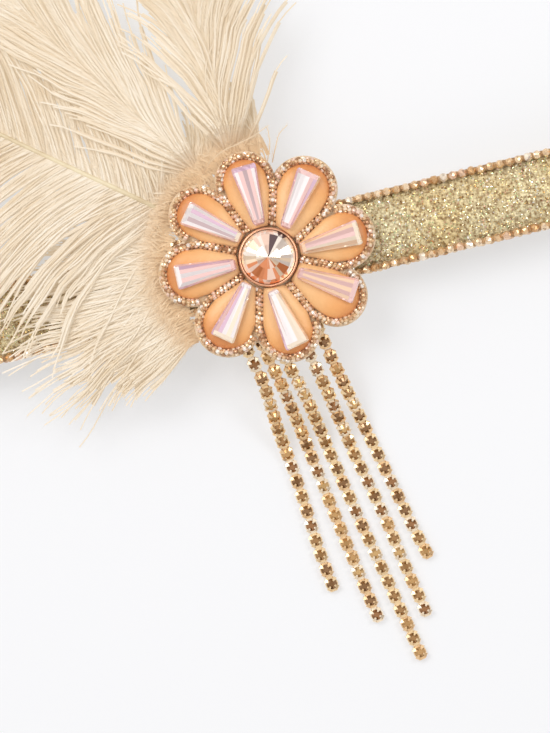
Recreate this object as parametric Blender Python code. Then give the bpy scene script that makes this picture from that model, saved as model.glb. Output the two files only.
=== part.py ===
"""Feather headband lying on its back: glitter band, jewelled flower, plume and crystal fringe.

The origin is on the band's inner face, behind the middle of the flower. +X runs along the
band, +Z points out of the flower's face, and -Y is the way the fringe falls.
Every length below is in millimetres and every angle in degrees; new_part() and new_tube()
turn them into metres.
"""
import math

import bmesh
import bpy
from mathutils import Vector

MM = 0.001
SEAT_GAP = 0.3
ROUTE_STEPS = 20
PLAN_STEP = 0.5

# Band: one ribbon loop pressed flat, its upper layer over its lower layer.
BAND_HALF_RUN = 122.0
BAND_HOLLOW = 8.5
BAND_WIDTH = 19.4
BAND_THICKNESS = 1.2
BAND_TURN_STEPS = 8

# Strings of round beads along both edges of the band.
EDGE_BEAD = 2.4
EDGE_STRING_Y = 9.4

SURFACE_Z = -(BAND_HOLLOW + BAND_THICKNESS + SEAT_GAP + EDGE_BEAD)
BEADS_TOP_Z = BAND_THICKNESS + SEAT_GAP + EDGE_BEAD

# Flower: felt backing, padded petals, bead strings in the valleys between them.
BACKING_THICKNESS = 1.2
BACKING_Z = BEADS_TOP_Z + SEAT_GAP
BACKING_TOP_Z = BACKING_Z + BACKING_THICKNESS
BACKING_RIM = 1.5
BACKING_ARC_STEPS = 9
TRIM_BEAD = 1.8
TRIM_PAIR = 1.2
TRIM_FORK = 2.1
TRIM_INNER_R = 8.8
TRIM_ARC_STEPS = 12
PAD_HEIGHT = 2.3
PAD_SHOULDER = 1.3
PAD_BEVEL = 1.1
PAD_ARC_STEPS = 8
PAD_CLEARANCE = TRIM_BEAD / 2 + SEAT_GAP + 0.05
PAD_NECK = 0.04
PAD_NECK_BEVEL = 0.03
PAD_SIDE_BEVEL = 0.8
PAD_SIDE_END = 0.86

# One petal to a row, anticlockwise from the one above the band's right-hand run:
# where its first valley starts and ends, how far its tip reaches, and the stone's lie.
PETAL_COLUMNS = ("valley_inner", "valley_outer", "tip_r", "stone_inner", "stone_outer")
PETALS = (
    (16.9, 24.5, 28.0, 46.0, 50.3),
    (69.8, 72.4, 27.8, 91.2, 91.8),
    (116.6, 114.5, 28.3, 132.1, 138.1),
    (156.0, 156.0, 28.4, 178.7, 178.9),
    (202.7, 201.5, 28.3, 217.7, 226.7),
    (240.9, 249.0, 27.5, 263.1, 274.8),
    (294.2, 295.0, 27.8, 318.7, 324.6),
    (342.9, 338.5, 28.0, 0.5, 1.7),
)

# Long tapered stones, all cut alike.
STONE_INNER_R = 8.9
STONE_LENGTH = 16.2
STONE_INNER_HALF = 1.55
STONE_OUTER_HALF = 3.45
STONE_FOOT_INSET = 0.5
STONE_TABLE_INSET = 0.95
STONE_CORNER = 0.6
STONE_CORNER_SHARE = 0.6
STONE_GIRDLE = 1.0
STONE_HEIGHT = 2.7

# Round stone in a thin bezel at the flower's centre.
CENTRE_R = 7.0
CENTRE_FACETS = 16
CENTRE_FOOT_R = 5.6
CENTRE_BREAK_R = 4.4
CENTRE_TABLE_R = 1.3
CENTRE_GIRDLE = 2.9
CENTRE_BREAK = 4.6
CENTRE_HEIGHT = 5.7
BEZEL_WALL = 0.8
BEZEL_HEIGHT = 3.6
BEZEL_SIDES = 32

# Fringe: cup chain, each stone in a round cup linked to the next.
CUP_PITCH = 4.13
CUP_SIDES = 10
CUP_FOOT_R = 1.35
CUP_RIM_R = 1.6
CUP_TABLE_R = 0.85
CUP_RIM = 1.45
CUP_HEIGHT = 2.2
LINK_HEIGHT = 0.6
FRINGE_START_Z = BEADS_TOP_Z - CUP_HEIGHT
FRINGE_HIDDEN = 7.0
FRINGE_FALL = 30.0
FRINGE_ROUTES = (
    ((-12.0, -18.5), (-10.9, -24.8), (-9.2, -32.4), (-8.4, -44.9), (-6.6, -61.6),
     (-5.4, -79.1), (-3.9, -92.3)),
    ((-8.4, -17.6), (-6.9, -23.1), (-4.2, -36.7), (-1.6, -53.0), (0.8, -70.1),
     (3.3, -86.9), (6.2, -103.7)),
    ((-4.6, -18.4), (-2.7, -25.2), (1.0, -39.3), (3.9, -56.4), (6.8, -72.7),
     (10.0, -89.3), (14.8, -115.3)),
    ((2.6, -19.5), (4.3, -26.9), (7.0, -39.8), (10.0, -57.2), (13.3, -72.9),
     (16.0, -89.2), (18.5, -102.6)),
    ((7.7, -17.0), (8.6, -22.5), (10.8, -34.3), (14.4, -50.8), (18.0, -67.7),
     (20.6, -79.9), (22.8, -88.3)),
)

# Plume: each feather is a quill with flat tapered locks fused to both sides.
QUILL_SEAT_Z = 3.2
OVER_BAND_Z = 4.9
PLUME_LAYER = 2.1
PLUME_LOW_Z = SURFACE_Z + 0.6 - PLUME_LAYER
PLUME_FALL = (34.0, 115.0)
OVER_BAND_Y = (15.0, 42.0)
LEAVES_BACKING = (30.0, 38.0)
QUILL_TIP_SHARE = 0.5
ROOT_SHARE = 0.6
LOCK_GAP = 1.2
LOCK_THICKNESS = 0.8
LOCK_TIP_SHARE = 0.6
LOCK_SHORTEST = 0.45
LOCK_SWELL = (0.18, 0.93)
LOCK_WAVER = 0.07
LOCK_WAVER_STEP = 2.3
LOCK_SIDES = {"left": (1, 3), "right": (-1, 1)}
TIP_CLOSING = 0.4
LOCK_SECTIONS = ((0.3, 1.0), (0.58, 0.95), (0.82, 0.65), (1.0, 0.1))
FEATHER_COLUMNS = (
    "root_r", "root_angle", "heading", "bend", "length", "width", "thickness", "layer",
    "first_lock", "last_lock", "pitch",
    "left_angle", "left_curl", "left_length", "right_angle", "right_curl", "right_length",
)
FEATHERS = {
    "feather_main": (20.5, 142.5, 142.0, -5.0, 168.0, 2.0, 1.4, 1,
                     12.0, 156.5, 9.0, 60.0, 32.0, 60.0, 58.0, -32.0, 52.0),
    "feather_middle": (21.0, 112.4, 123.5, 4.0, 160.0, 1.8, 1.4, 2,
                       17.0, 150.0, 12.0, 24.0, 8.0, 58.0, 32.0, -8.0, 56.0),
    "feather_upper": (21.0, 99.0, 92.0, -8.0, 132.0, 1.8, 1.4, 3,
                      16.0, 124.5, 12.0, 34.0, -10.0, 54.0, 46.0, -14.0, 52.0),
    "down_ruff": (31.9, 163.0, 253.0, 62.0, 34.5, 2.8, 1.0, 0,
                  0.8, 33.2, 4.6, 0.0, 0.0, 0.0, 88.0, -16.0, 38.0),
}


def smoothstep(low, high, value):
    """Rise smoothly from 0 at low to 1 at high."""
    t = min(max((value - low) / (high - low), 0.0), 1.0)
    return t * t * (3.0 - 2.0 * t)


def mix(a, b, t):
    """Blend from a to b."""
    return a + (b - a) * t


def polar(radius, angle, z=0.0):
    """Return the point at this radius and angle round the flower's axis."""
    a = math.radians(angle)
    return Vector((radius * math.cos(a), radius * math.sin(a), z))


def arc_walk(start, heading, turn, length, distance):
    """Walk along a path in plan that turns evenly by turn over its length.

    Returns the point reached and the heading there.
    """
    bearing = heading + turn * distance / length
    if abs(turn) < 0.01:
        return start + polar(distance, heading), bearing
    radius = length / math.radians(turn)
    a0 = math.radians(heading)
    a1 = math.radians(bearing)
    across = Vector((math.sin(a1) - math.sin(a0), math.cos(a0) - math.cos(a1), 0.0))
    return start + across * radius, bearing


def smooth_route(points, step):
    """Return points spaced by step along a smooth curve through the given ones."""
    ends = [points[0] * 2 - points[1]] + list(points) + [points[-1] * 2 - points[-2]]
    fine = []
    for a, b, c, d in zip(ends, ends[1:], ends[2:], ends[3:]):
        for i in range(ROUTE_STEPS):
            t = i / ROUTE_STEPS
            fine.append(0.5 * (2 * b + (c - a) * t + (2 * a - 5 * b + 4 * c - d) * t ** 2
                               + (3 * b - a - 3 * c + d) * t ** 3))
    fine.append(points[-1])
    spaced = [fine[0]]
    for p in fine[1:]:
        while (p - spaced[-1]).length >= step:
            spaced.append(spaced[-1] + (p - spaced[-1]).normalized() * step)
    return spaced


def make_material(name, colour, roughness, metallic=0.0):
    """Make a Principled material from a colour as it looks on screen."""
    material = bpy.data.materials.new(name)
    material.use_nodes = True
    shader = material.node_tree.nodes["Principled BSDF"]
    linear = [c / 12.92 if c <= 0.04045 else ((c + 0.055) / 1.055) ** 2.4 for c in colour]
    shader.inputs["Base Color"].default_value = (*linear, 1.0)
    shader.inputs["Roughness"].default_value = roughness
    shader.inputs["Metallic"].default_value = metallic
    return material


def new_part(name, shape, material, fill):
    """Make one named mesh object; fill() models the shape in millimetres."""
    bm = bmesh.new()
    fill(bm, shape)
    bmesh.ops.recalc_face_normals(bm, faces=bm.faces)
    bmesh.ops.scale(bm, vec=(MM, MM, MM), verts=bm.verts)
    mesh = bpy.data.meshes.new(name)
    bm.to_mesh(mesh)
    bm.free()
    mesh.materials.append(material)
    part = bpy.data.objects.new(name, mesh)
    bpy.context.scene.collection.objects.link(part)
    return part


def fill_rings(bm, rings):
    """Skin a stack of rings with equal point counts and close both ends."""
    loops = [[bm.verts.new(p) for p in ring] for ring in rings]
    for lower, upper in zip(loops, loops[1:]):
        for i in range(len(lower)):
            j = (i + 1) % len(lower)
            bm.faces.new((lower[i], lower[j], upper[j], upper[i]))
    bm.faces.new(loops[0])
    bm.faces.new(loops[-1])


def fill_loop(bm, rings):
    """Skin rings that follow each other round a closed loop."""
    loops = [[bm.verts.new(p) for p in ring] for ring in rings]
    for k, ring in enumerate(loops):
        after = loops[(k + 1) % len(loops)]
        for i in range(len(ring)):
            j = (i + 1) % len(ring)
            bm.faces.new((ring[i], ring[j], after[j], after[i]))


def new_tube(name, points, diameter, material, closed):
    """Make a tube along points as a bevelled curve."""
    curve = bpy.data.curves.new(name, "CURVE")
    curve.dimensions = "3D"
    curve.bevel_depth = diameter / 2 * MM
    curve.bevel_resolution = 1
    curve.use_fill_caps = True
    spline = curve.splines.new("POLY")
    spline.points.add(len(points) - 1)
    for control, p in zip(spline.points, points):
        control.co = (p.x * MM, p.y * MM, p.z * MM, 1.0)
    spline.use_cyclic_u = closed
    curve.materials.append(material)
    tube = bpy.data.objects.new(name, curve)
    bpy.context.scene.collection.objects.link(tube)
    return tube


def band_loop(offset):
    """Return (point, outward) pairs round the band, offset out from its inner face."""
    middle_z = -BAND_HOLLOW / 2
    loop = []
    for side, first in ((1, 90.0), (-1, -90.0)):
        for i in range(BAND_TURN_STEPS + 1):
            a = math.radians(first - 180.0 * i / BAND_TURN_STEPS)
            outward = Vector((math.cos(a), 0.0, math.sin(a)))
            centre = Vector((side * BAND_HALF_RUN, 0.0, middle_z))
            loop.append((centre + outward * (BAND_HOLLOW / 2 + offset), outward))
    return loop


def make_band(material):
    """Make the ribbon: a closed loop whose inner face is flat at z = 0 under the flower."""
    across = Vector((0.0, BAND_WIDTH / 2, 0.0))
    rings = []
    for point, outward in band_loop(0.0):
        outer = point + outward * BAND_THICKNESS
        rings.append((point - across, point + across, outer + across, outer - across))
    return new_part("band", rings, material, fill_loop)


def make_edge_trims(material):
    """Make the bead string along each edge of the band, as a plain tube."""
    offset = BAND_THICKNESS + SEAT_GAP + EDGE_BEAD / 2
    for name, side in (("edge_trim_upper", 1), ("edge_trim_lower", -1)):
        shift = Vector((0.0, side * EDGE_STRING_Y, 0.0))
        points = [point + shift for point, _ in band_loop(offset)]
        new_tube(name, points, EDGE_BEAD, material, True)


def petal_layout():
    """Work out each petal's axis, round end and valleys from the table."""
    rows = [dict(zip(PETAL_COLUMNS, row)) for row in PETALS]
    for k, petal in enumerate(rows):
        following = rows[(k + 1) % len(rows)]
        span = (following["valley_outer"] - petal["valley_outer"]) % 360.0
        half = math.radians(span / 2)
        petal["axis"] = petal["valley_outer"] + span / 2
        petal["half"] = half
        petal["lobe_r"] = ((petal["tip_r"] * math.sin(half) - TRIM_PAIR)
                           / (math.cos(half) + math.sin(half)))
        petal["lobe_centre"] = petal["tip_r"] - petal["lobe_r"]
        petal["fork_r"] = (petal["lobe_centre"] * math.cos(half)
                           + petal["lobe_r"] * math.sin(half) - TRIM_FORK)
    for k, petal in enumerate(rows):
        petal["fork_r"] = min(petal["fork_r"], rows[k - 1]["fork_r"])
        petal["valley"] = (polar(TRIM_INNER_R, petal["valley_inner"]),
                           polar(petal["fork_r"], petal["valley_outer"]))
    for k, petal in enumerate(rows):
        petal["next_valley"] = rows[(k + 1) % len(rows)]["valley"]
    return rows


def lobe_arc(petal, radius, reach, steps, z):
    """Return points round a petal's outer end, from -reach to +reach of its axis."""
    centre = polar(petal["lobe_centre"], petal["axis"], z)
    return [centre + polar(radius, petal["axis"] + mix(-reach, reach, i / steps))
            for i in range(steps + 1)]


def backing_lobe(petal):
    """Return the backing's arc round one petal, cut off where it meets the valleys."""
    radius = petal["lobe_r"] + BACKING_RIM
    to_valley = petal["lobe_centre"] * math.sin(petal["half"])
    reach = 90.0 + math.degrees(petal["half"] - math.acos(to_valley / radius))
    return lobe_arc(petal, radius, reach, BACKING_ARC_STEPS, BACKING_Z)


def make_backing(petals, material):
    """Make the felt backing: eight lobes that show as a thin rim outside the beads."""
    outline = []
    for k, petal in enumerate(petals):
        following = petals[(k + 1) % len(petals)]
        arc = backing_lobe(petal)
        valley_r = (arc[-1].to_2d().length + backing_lobe(following)[0].to_2d().length) / 2
        outline += arc[1:-1]
        outline.append(polar(valley_r, following["valley_outer"], BACKING_Z))
    top = [p + Vector((0.0, 0.0, BACKING_THICKNESS)) for p in outline]
    return new_part("flower_backing", (outline, top), material, fill_rings)


def beside_valley(valley, fraction, clearance, side):
    """Return a point next to a valley line, on its left (side 1) or right (side -1)."""
    inner, outer = valley
    along = (outer - inner).normalized()
    return mix(inner, outer, fraction) + Vector((-along.y, along.x, 0.0)) * clearance * side


def make_pads(petals, material):
    """Make the padded satin petals, rounded over at their tops."""
    foot_z = BACKING_TOP_Z + SEAT_GAP
    for k, petal in enumerate(petals):
        rings = []
        for inset, height in ((0.0, 0.0), (0.0, PAD_SHOULDER), (PAD_BEVEL, PAD_HEIGHT)):
            gap = PAD_CLEARANCE + inset * PAD_SIDE_BEVEL
            neck = PAD_NECK + inset * PAD_NECK_BEVEL
            radius = petal["lobe_r"] - PAD_CLEARANCE - inset
            ring = [beside_valley(petal["valley"], neck, gap, 1),
                    beside_valley(petal["valley"], PAD_SIDE_END, gap, 1)]
            ring += lobe_arc(petal, radius, 90.0, PAD_ARC_STEPS, 0.0)
            ring += [beside_valley(petal["next_valley"], PAD_SIDE_END, gap, -1),
                     beside_valley(petal["next_valley"], neck, gap, -1)]
            rings.append([Vector((p.x, p.y, foot_z + height)) for p in ring])
        new_part(f"petal_pad_{k + 1}", rings, material, fill_rings)


def make_petal_trims(petals, material):
    """Make the bead string up each petal's first valley and on round its outer end."""
    z = BACKING_TOP_Z + SEAT_GAP + TRIM_BEAD / 2
    lift = Vector((0.0, 0.0, z))
    for k, petal in enumerate(petals):
        inner, fork = petal["valley"]
        points = [inner + lift, fork + lift]
        points += lobe_arc(petal, petal["lobe_r"], 90.0, TRIM_ARC_STEPS, z)
        new_tube(f"petal_trim_{k + 1}", points, TRIM_BEAD, material, False)


def make_petal_stones(petals, material):
    """Make the tapered stones, each lying along the top of its pad."""
    foot_z = BACKING_TOP_Z + SEAT_GAP + PAD_HEIGHT + SEAT_GAP
    levels = ((STONE_FOOT_INSET, 0.0), (0.0, STONE_GIRDLE), (STONE_TABLE_INSET, STONE_HEIGHT))
    for k, petal in enumerate(petals):
        inner = polar(STONE_INNER_R, petal["stone_inner"])
        outer = polar(STONE_INNER_R + STONE_LENGTH, petal["stone_outer"])
        along = (outer - inner).normalized()
        across = Vector((-along.y, along.x, 0.0))
        rings = []
        for inset, height in levels:
            ring = []
            for end, half in ((inset, STONE_INNER_HALF - inset),
                              (STONE_LENGTH - inset, STONE_OUTER_HALF - inset)):
                inward = 1.0 if end < STONE_LENGTH / 2 else -1.0
                cut = min(STONE_CORNER, half * STONE_CORNER_SHARE)
                corners = [(end + inward * cut, -half), (end, cut - half),
                           (end, half - cut), (end + inward * cut, half)]
                ring += corners if inward > 0 else corners[::-1]
            rings.append([inner + along * u + across * v
                          + Vector((0.0, 0.0, foot_z + height)) for u, v in ring])
        new_part(f"petal_stone_{k + 1}", rings, material, fill_rings)


def turned_ring(radius, z, sides):
    """Return one ring of points round the flower's axis."""
    return [polar(radius, 360.0 * i / sides, z) for i in range(sides)]


def make_centre(glass, metal):
    """Make the round faceted stone and the bezel wall around it."""
    foot_z = BACKING_TOP_Z + SEAT_GAP
    profile = ((CENTRE_FOOT_R, 0.0), (CENTRE_R, CENTRE_GIRDLE), (CENTRE_BREAK_R, CENTRE_BREAK),
               (CENTRE_TABLE_R, CENTRE_HEIGHT))
    rings = [turned_ring(radius, foot_z + height, CENTRE_FACETS) for radius, height in profile]
    new_part("centre_stone", rings, glass, fill_rings)
    inner_r = CENTRE_R + SEAT_GAP
    outer_r = inner_r + BEZEL_WALL
    corners = ((inner_r, foot_z), (outer_r, foot_z), (outer_r, foot_z + BEZEL_HEIGHT),
               (inner_r, foot_z + BEZEL_HEIGHT))
    rings = [[polar(r, 360.0 * i / BEZEL_SIDES, z) for r, z in corners]
             for i in range(BEZEL_SIDES)]
    new_part("centre_bezel", rings, metal, fill_loop)


def fringe_path(route):
    """Return the cup positions along one strand, from under the petals down to the surface."""
    plan = smooth_route([Vector((x, y, 0.0)) for x, y in route], PLAN_STEP)
    path = []
    for i, p in enumerate(plan):
        fall = smoothstep(FRINGE_HIDDEN, FRINGE_HIDDEN + FRINGE_FALL, i * PLAN_STEP)
        path.append(Vector((p.x, p.y, mix(FRINGE_START_Z, SURFACE_Z, fall))))
    return smooth_route(path, CUP_PITCH)


def fill_cup_chain(bm, path):
    """Build a row of cups with their stones, each linked low down to the next cup."""
    ahead = (0, 1)
    behind = (CUP_SIDES // 2, CUP_SIDES // 2 + 1)
    open_side = None
    for k, point in enumerate(path):
        before = path[max(k - 1, 0)]
        after = path[min(k + 1, len(path) - 1)]
        along = (after - before).normalized()
        across = Vector((0.0, 0.0, 1.0)).cross(along).normalized()
        up = along.cross(across)

        def ring(radius, height, corners=range(CUP_SIDES)):
            turn = math.pi / CUP_SIDES
            spots = [(2 * i - 1) * turn for i in corners]
            return [bm.verts.new(point + along * radius * math.cos(a)
                                 + across * radius * math.sin(a) + up * height) for a in spots]

        foot = ring(CUP_FOOT_R, 0.0)
        rim = ring(CUP_RIM_R, CUP_RIM)
        table = ring(CUP_TABLE_R, CUP_HEIGHT)
        belt_r = mix(CUP_FOOT_R, CUP_RIM_R, LINK_HEIGHT / CUP_RIM)
        belt = {}
        if k < len(path) - 1:
            belt.update(zip(ahead, ring(belt_r, LINK_HEIGHT, ahead)))
        if k > 0:
            belt.update(zip(behind, ring(belt_r, LINK_HEIGHT, behind)))
        for i in range(CUP_SIDES):
            j = (i + 1) % CUP_SIDES
            if (i, j) in (ahead, behind) and i in belt:
                bm.faces.new((belt[i], belt[j], rim[j], rim[i]))
            else:
                corners = [foot[i], foot[j]] + ([belt[j]] if j in belt else [])
                corners += [rim[j], rim[i]] + ([belt[i]] if i in belt else [])
                bm.faces.new(corners)
            bm.faces.new((rim[i], rim[j], table[j], table[i]))
        bm.faces.new(foot)
        bm.faces.new(table)
        if open_side:
            near = [foot[behind[1]], foot[behind[0]], belt[behind[0]], belt[behind[1]]]
            for i in range(4):
                j = (i + 1) % 4
                bm.faces.new((open_side[i], open_side[j], near[j], near[i]))
        if k < len(path) - 1:
            open_side = [foot[ahead[0]], foot[ahead[1]], belt[ahead[1]], belt[ahead[0]]]


def make_fringe(material):
    """Make the five strands of cup chain."""
    for k, route in enumerate(FRINGE_ROUTES):
        new_part(f"strand_{k + 1}", fringe_path(route), material, fill_cup_chain)


def plume_height(point, layer):
    """Return the height of a feather's middle: over the band, then down to the surface."""
    reach = point.to_2d().length
    low = mix(QUILL_SEAT_Z, PLUME_LOW_Z, smoothstep(*PLUME_FALL, reach))
    over_band = 1.0 - smoothstep(*OVER_BAND_Y, abs(point.y))
    height = mix(low, max(low, OVER_BAND_Z), over_band) + layer * PLUME_LAYER
    freed = smoothstep(*LEAVES_BACKING, reach) if layer else 1.0
    return mix(QUILL_SEAT_Z, height, freed)


def lock_profile(along):
    """Return how long the locks are at this fraction of the quill, longest near its middle."""
    return mix(LOCK_SHORTEST, 1.0, math.sin(math.pi * mix(*LOCK_SWELL, along)))


def lock_lean(along):
    """Return how wide the locks open at this fraction of the quill, closing at its tip."""
    return mix(1.0, TIP_CLOSING, along ** 2)


def quill_point(feather, distance):
    """Return the point and the heading at this distance along a quill."""
    root = polar(feather["root_r"], feather["root_angle"])
    return arc_walk(root, feather["heading"], feather["bend"], feather["length"], distance)


def add_section(bm, feather, centre, bearing, width, thickness):
    """Add a four-cornered section across a path, at the feather's height there."""
    z = plume_height(centre, feather["layer"])
    side = polar(width / 2, bearing + 90.0)
    low = Vector((centre.x, centre.y, z - thickness / 2))
    high = Vector((centre.x, centre.y, z + thickness / 2))
    return [bm.verts.new(p) for p in (low + side, low - side, high - side, high + side)]


def join_sections(bm, a, b, skipped=()):
    """Join two sections along their four sides, leaving out the skipped ones."""
    for i in range(4):
        if i not in skipped:
            j = (i + 1) % 4
            bm.faces.new((a[i], a[j], b[j], b[i]))


def grow_lock(bm, feather, side, index, near, far):
    """Grow one tapered lock out of the quill's side, between two of its sections."""
    sign, first = LOCK_SIDES[side]
    second = (first + 1) % 4
    width = feather["pitch"] - LOCK_GAP
    middle = feather["first_lock"] + index * feather["pitch"] + width / 2
    along = middle / feather["length"]
    centre, bearing = quill_point(feather, middle)
    opening = feather[side + "_angle"]
    if feather["layer"]:
        opening *= lock_lean(along)
    waver = 1.0 + LOCK_WAVER * math.sin(LOCK_WAVER_STEP * index + sign)
    length = feather[side + "_length"] * lock_profile(along) * waver
    turn = sign * feather[side + "_curl"]
    fanning = sign * math.radians(feather["bend"]) / feather["length"]
    last = [near[first], near[second], far[second], far[first]]
    for fraction, taper in LOCK_SECTIONS:
        distance = length * fraction
        tip, lean = arc_walk(centre, bearing + sign * opening, turn, length, distance)
        across = width * math.sin(math.radians(abs(lean - bearing))) * taper
        across *= 1.0 - fanning * distance
        thickness = LOCK_THICKNESS * mix(1.0, LOCK_TIP_SHARE, fraction)
        section = add_section(bm, feather, tip, lean, across, thickness)
        section = section[first:] + section[:first]
        join_sections(bm, last, section)
        last = section
    bm.faces.new(last)


def fill_feather(bm, feather):
    """Build a quill with tapered locks growing out of its side faces."""
    count = int((feather["last_lock"] - feather["first_lock"]) / feather["pitch"]) + 1
    stations = [0.0, feather["first_lock"] * ROOT_SHARE]
    for k in range(count):
        start = feather["first_lock"] + k * feather["pitch"]
        stations += [start, start + feather["pitch"] - LOCK_GAP]
    stations.append(feather["length"])
    quill = []
    for distance in stations:
        centre, bearing = quill_point(feather, distance)
        thin = mix(1.0, QUILL_TIP_SHARE, distance / feather["length"])
        quill.append(add_section(bm, feather, centre, bearing, feather["width"] * thin,
                                 feather["thickness"] * thin))
    bm.faces.new(quill[0])
    bm.faces.new(quill[-1])
    grown = [side for side in LOCK_SIDES if feather[side + "_length"] > 0.0]
    lock_faces = [LOCK_SIDES[side][1] for side in grown]
    for k in range(len(stations) - 1):
        index, between = divmod(k - 2, 2)
        if 0 <= index < count and between == 0:
            join_sections(bm, quill[k], quill[k + 1], lock_faces)
            for side in grown:
                grow_lock(bm, feather, side, index, quill[k], quill[k + 1])
        else:
            join_sections(bm, quill[k], quill[k + 1])


def make_plume(material):
    """Make the three feathers and the ruff of down beside the flower."""
    for name, row in FEATHERS.items():
        feather = dict(zip(FEATHER_COLUMNS, row))
        new_part(name, feather, material, fill_feather)


def build_headband():
    """Clear the scene and model the whole headband."""
    for old in list(bpy.data.objects):
        bpy.data.objects.remove(old, do_unlink=True)
    glitter = make_material("glitter_ribbon", (0.80, 0.72, 0.58), 0.45, 0.6)
    beads = make_material("champagne_beads", (0.80, 0.62, 0.44), 0.3, 0.8)
    felt = make_material("cream_felt", (0.96, 0.91, 0.82), 0.9)
    satin = make_material("peach_satin", (0.97, 0.79, 0.56), 0.35)
    glass = make_material("crystal", (0.96, 0.88, 0.88), 0.05)
    bezel = make_material("rose_gold", (0.78, 0.52, 0.38), 0.25, 1.0)
    chain = make_material("gold_cup_chain", (0.72, 0.55, 0.30), 0.25, 0.9)
    down = make_material("cream_feather", (0.94, 0.88, 0.78), 0.85)
    petals = petal_layout()
    make_band(glitter)
    make_edge_trims(beads)
    make_backing(petals, felt)
    make_pads(petals, satin)
    make_petal_trims(petals, beads)
    make_petal_stones(petals, glass)
    make_centre(glass, bezel)
    make_fringe(chain)
    make_plume(down)


build_headband()
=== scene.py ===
# %% [markdown]
# # A feather headband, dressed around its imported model
# The headband lies on its back on a pale table and the camera looks straight down on it.
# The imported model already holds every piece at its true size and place. This lesson puts the
# real surfaces on it: beads, glitter, padded satin, cut glass, cup chain and ostrich feathers.
# We start by loading that model, because everything else is placed from its sizes.

import math
import random

import bmesh
import bpy
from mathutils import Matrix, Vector, noise


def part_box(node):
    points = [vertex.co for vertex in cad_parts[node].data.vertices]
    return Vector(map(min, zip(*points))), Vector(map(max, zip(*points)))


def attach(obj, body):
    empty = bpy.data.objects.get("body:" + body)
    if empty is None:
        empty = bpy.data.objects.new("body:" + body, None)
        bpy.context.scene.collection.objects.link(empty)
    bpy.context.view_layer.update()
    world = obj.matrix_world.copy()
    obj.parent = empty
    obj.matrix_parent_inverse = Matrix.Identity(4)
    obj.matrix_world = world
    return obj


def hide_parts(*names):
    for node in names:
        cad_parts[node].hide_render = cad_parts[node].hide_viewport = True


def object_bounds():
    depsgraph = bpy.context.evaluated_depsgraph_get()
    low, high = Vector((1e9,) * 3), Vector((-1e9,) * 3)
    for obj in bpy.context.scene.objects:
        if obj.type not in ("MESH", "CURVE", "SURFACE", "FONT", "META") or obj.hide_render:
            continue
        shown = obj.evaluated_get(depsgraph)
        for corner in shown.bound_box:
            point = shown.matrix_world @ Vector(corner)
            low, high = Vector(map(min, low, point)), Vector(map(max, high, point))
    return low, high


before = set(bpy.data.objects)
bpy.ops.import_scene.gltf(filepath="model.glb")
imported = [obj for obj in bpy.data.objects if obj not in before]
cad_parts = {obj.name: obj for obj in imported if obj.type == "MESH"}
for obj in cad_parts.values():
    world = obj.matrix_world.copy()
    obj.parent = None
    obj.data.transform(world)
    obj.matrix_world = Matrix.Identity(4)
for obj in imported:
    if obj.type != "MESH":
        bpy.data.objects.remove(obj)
cad_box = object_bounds()
MM = 0.001
print("pieces in the packed model:", len(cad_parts))

# %% [markdown]
# ## Small helpers
# A maker thinks in millimetres and degrees, and Blender in metres and radians. The helpers
# below keep our numbers in millimetres and turn them into metres only when a mesh is made.
# The last three save repeating: one sets a piece on the headband and hides the imported pieces it
# stands for, and two add and feed a node.

# %% Helpers for places, curves and meshes


def smoothstep(low, high, value):
    """Rise smoothly from 0 at low to 1 at high."""
    t = min(max((value - low) / (high - low), 0.0), 1.0)
    return t * t * (3.0 - 2.0 * t)


def mix(a, b, t):
    """Blend from a to b."""
    return a + (b - a) * t


def polar(radius, angle, z=0.0):
    """Return the point at this radius and angle round the flower's axis."""
    a = math.radians(angle)
    return Vector((radius * math.cos(a), radius * math.sin(a), z))


def arc_walk(start, heading, turn, length, distance):
    """Walk along a path that turns evenly; return the point and the heading there."""
    bearing = heading + turn * distance / length
    if abs(turn) < 0.01:
        return start + polar(distance, heading), bearing
    radius = length / math.radians(turn)
    a0 = math.radians(heading)
    a1 = math.radians(bearing)
    across = Vector((math.sin(a1) - math.sin(a0), math.cos(a0) - math.cos(a1), 0.0))
    return start + across * radius, bearing


def smooth_route(points, step):
    """Return points spaced by step along a smooth curve through the given ones."""
    ends = [points[0] * 2 - points[1]] + list(points) + [points[-1] * 2 - points[-2]]
    fine = []
    for a, b, c, d in zip(ends, ends[1:], ends[2:], ends[3:]):
        for i in range(20):
            t = i / 20
            fine.append(0.5 * (2 * b + (c - a) * t + (2 * a - 5 * b + 4 * c - d) * t ** 2
                               + (3 * b - a - 3 * c + d) * t ** 3))
    fine.append(points[-1])
    spaced = [fine[0]]
    for p in fine[1:]:
        while (p - spaced[-1]).length >= step:
            spaced.append(spaced[-1] + (p - spaced[-1]).normalized() * step)
    return spaced


def node_box(name):
    """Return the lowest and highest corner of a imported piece, in millimetres."""
    low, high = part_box(name)
    return Vector(low) / MM, Vector(high) / MM


def mesh_piece(name, verts, faces, materials, smooth=True, face_slots=None):
    """Make an object at the origin from points in millimetres."""
    mesh = bpy.data.meshes.new(name)
    mesh.from_pydata([tuple(v * MM) for v in verts], [], faces)
    for material in materials:
        mesh.materials.append(material)
    bm = bmesh.new()
    bm.from_mesh(mesh)
    bmesh.ops.remove_doubles(bm, verts=bm.verts, dist=0.00001)
    bmesh.ops.recalc_face_normals(bm, faces=bm.faces)
    bm.to_mesh(mesh)
    bm.free()
    if face_slots and len(face_slots) == len(mesh.polygons):
        for polygon, slot in zip(mesh.polygons, face_slots):
            polygon.material_index = slot
    mesh.polygons.foreach_set("use_smooth", [smooth] * len(mesh.polygons))
    piece = bpy.data.objects.new(name, mesh)
    bpy.context.scene.collection.objects.link(piece)
    return piece


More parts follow.
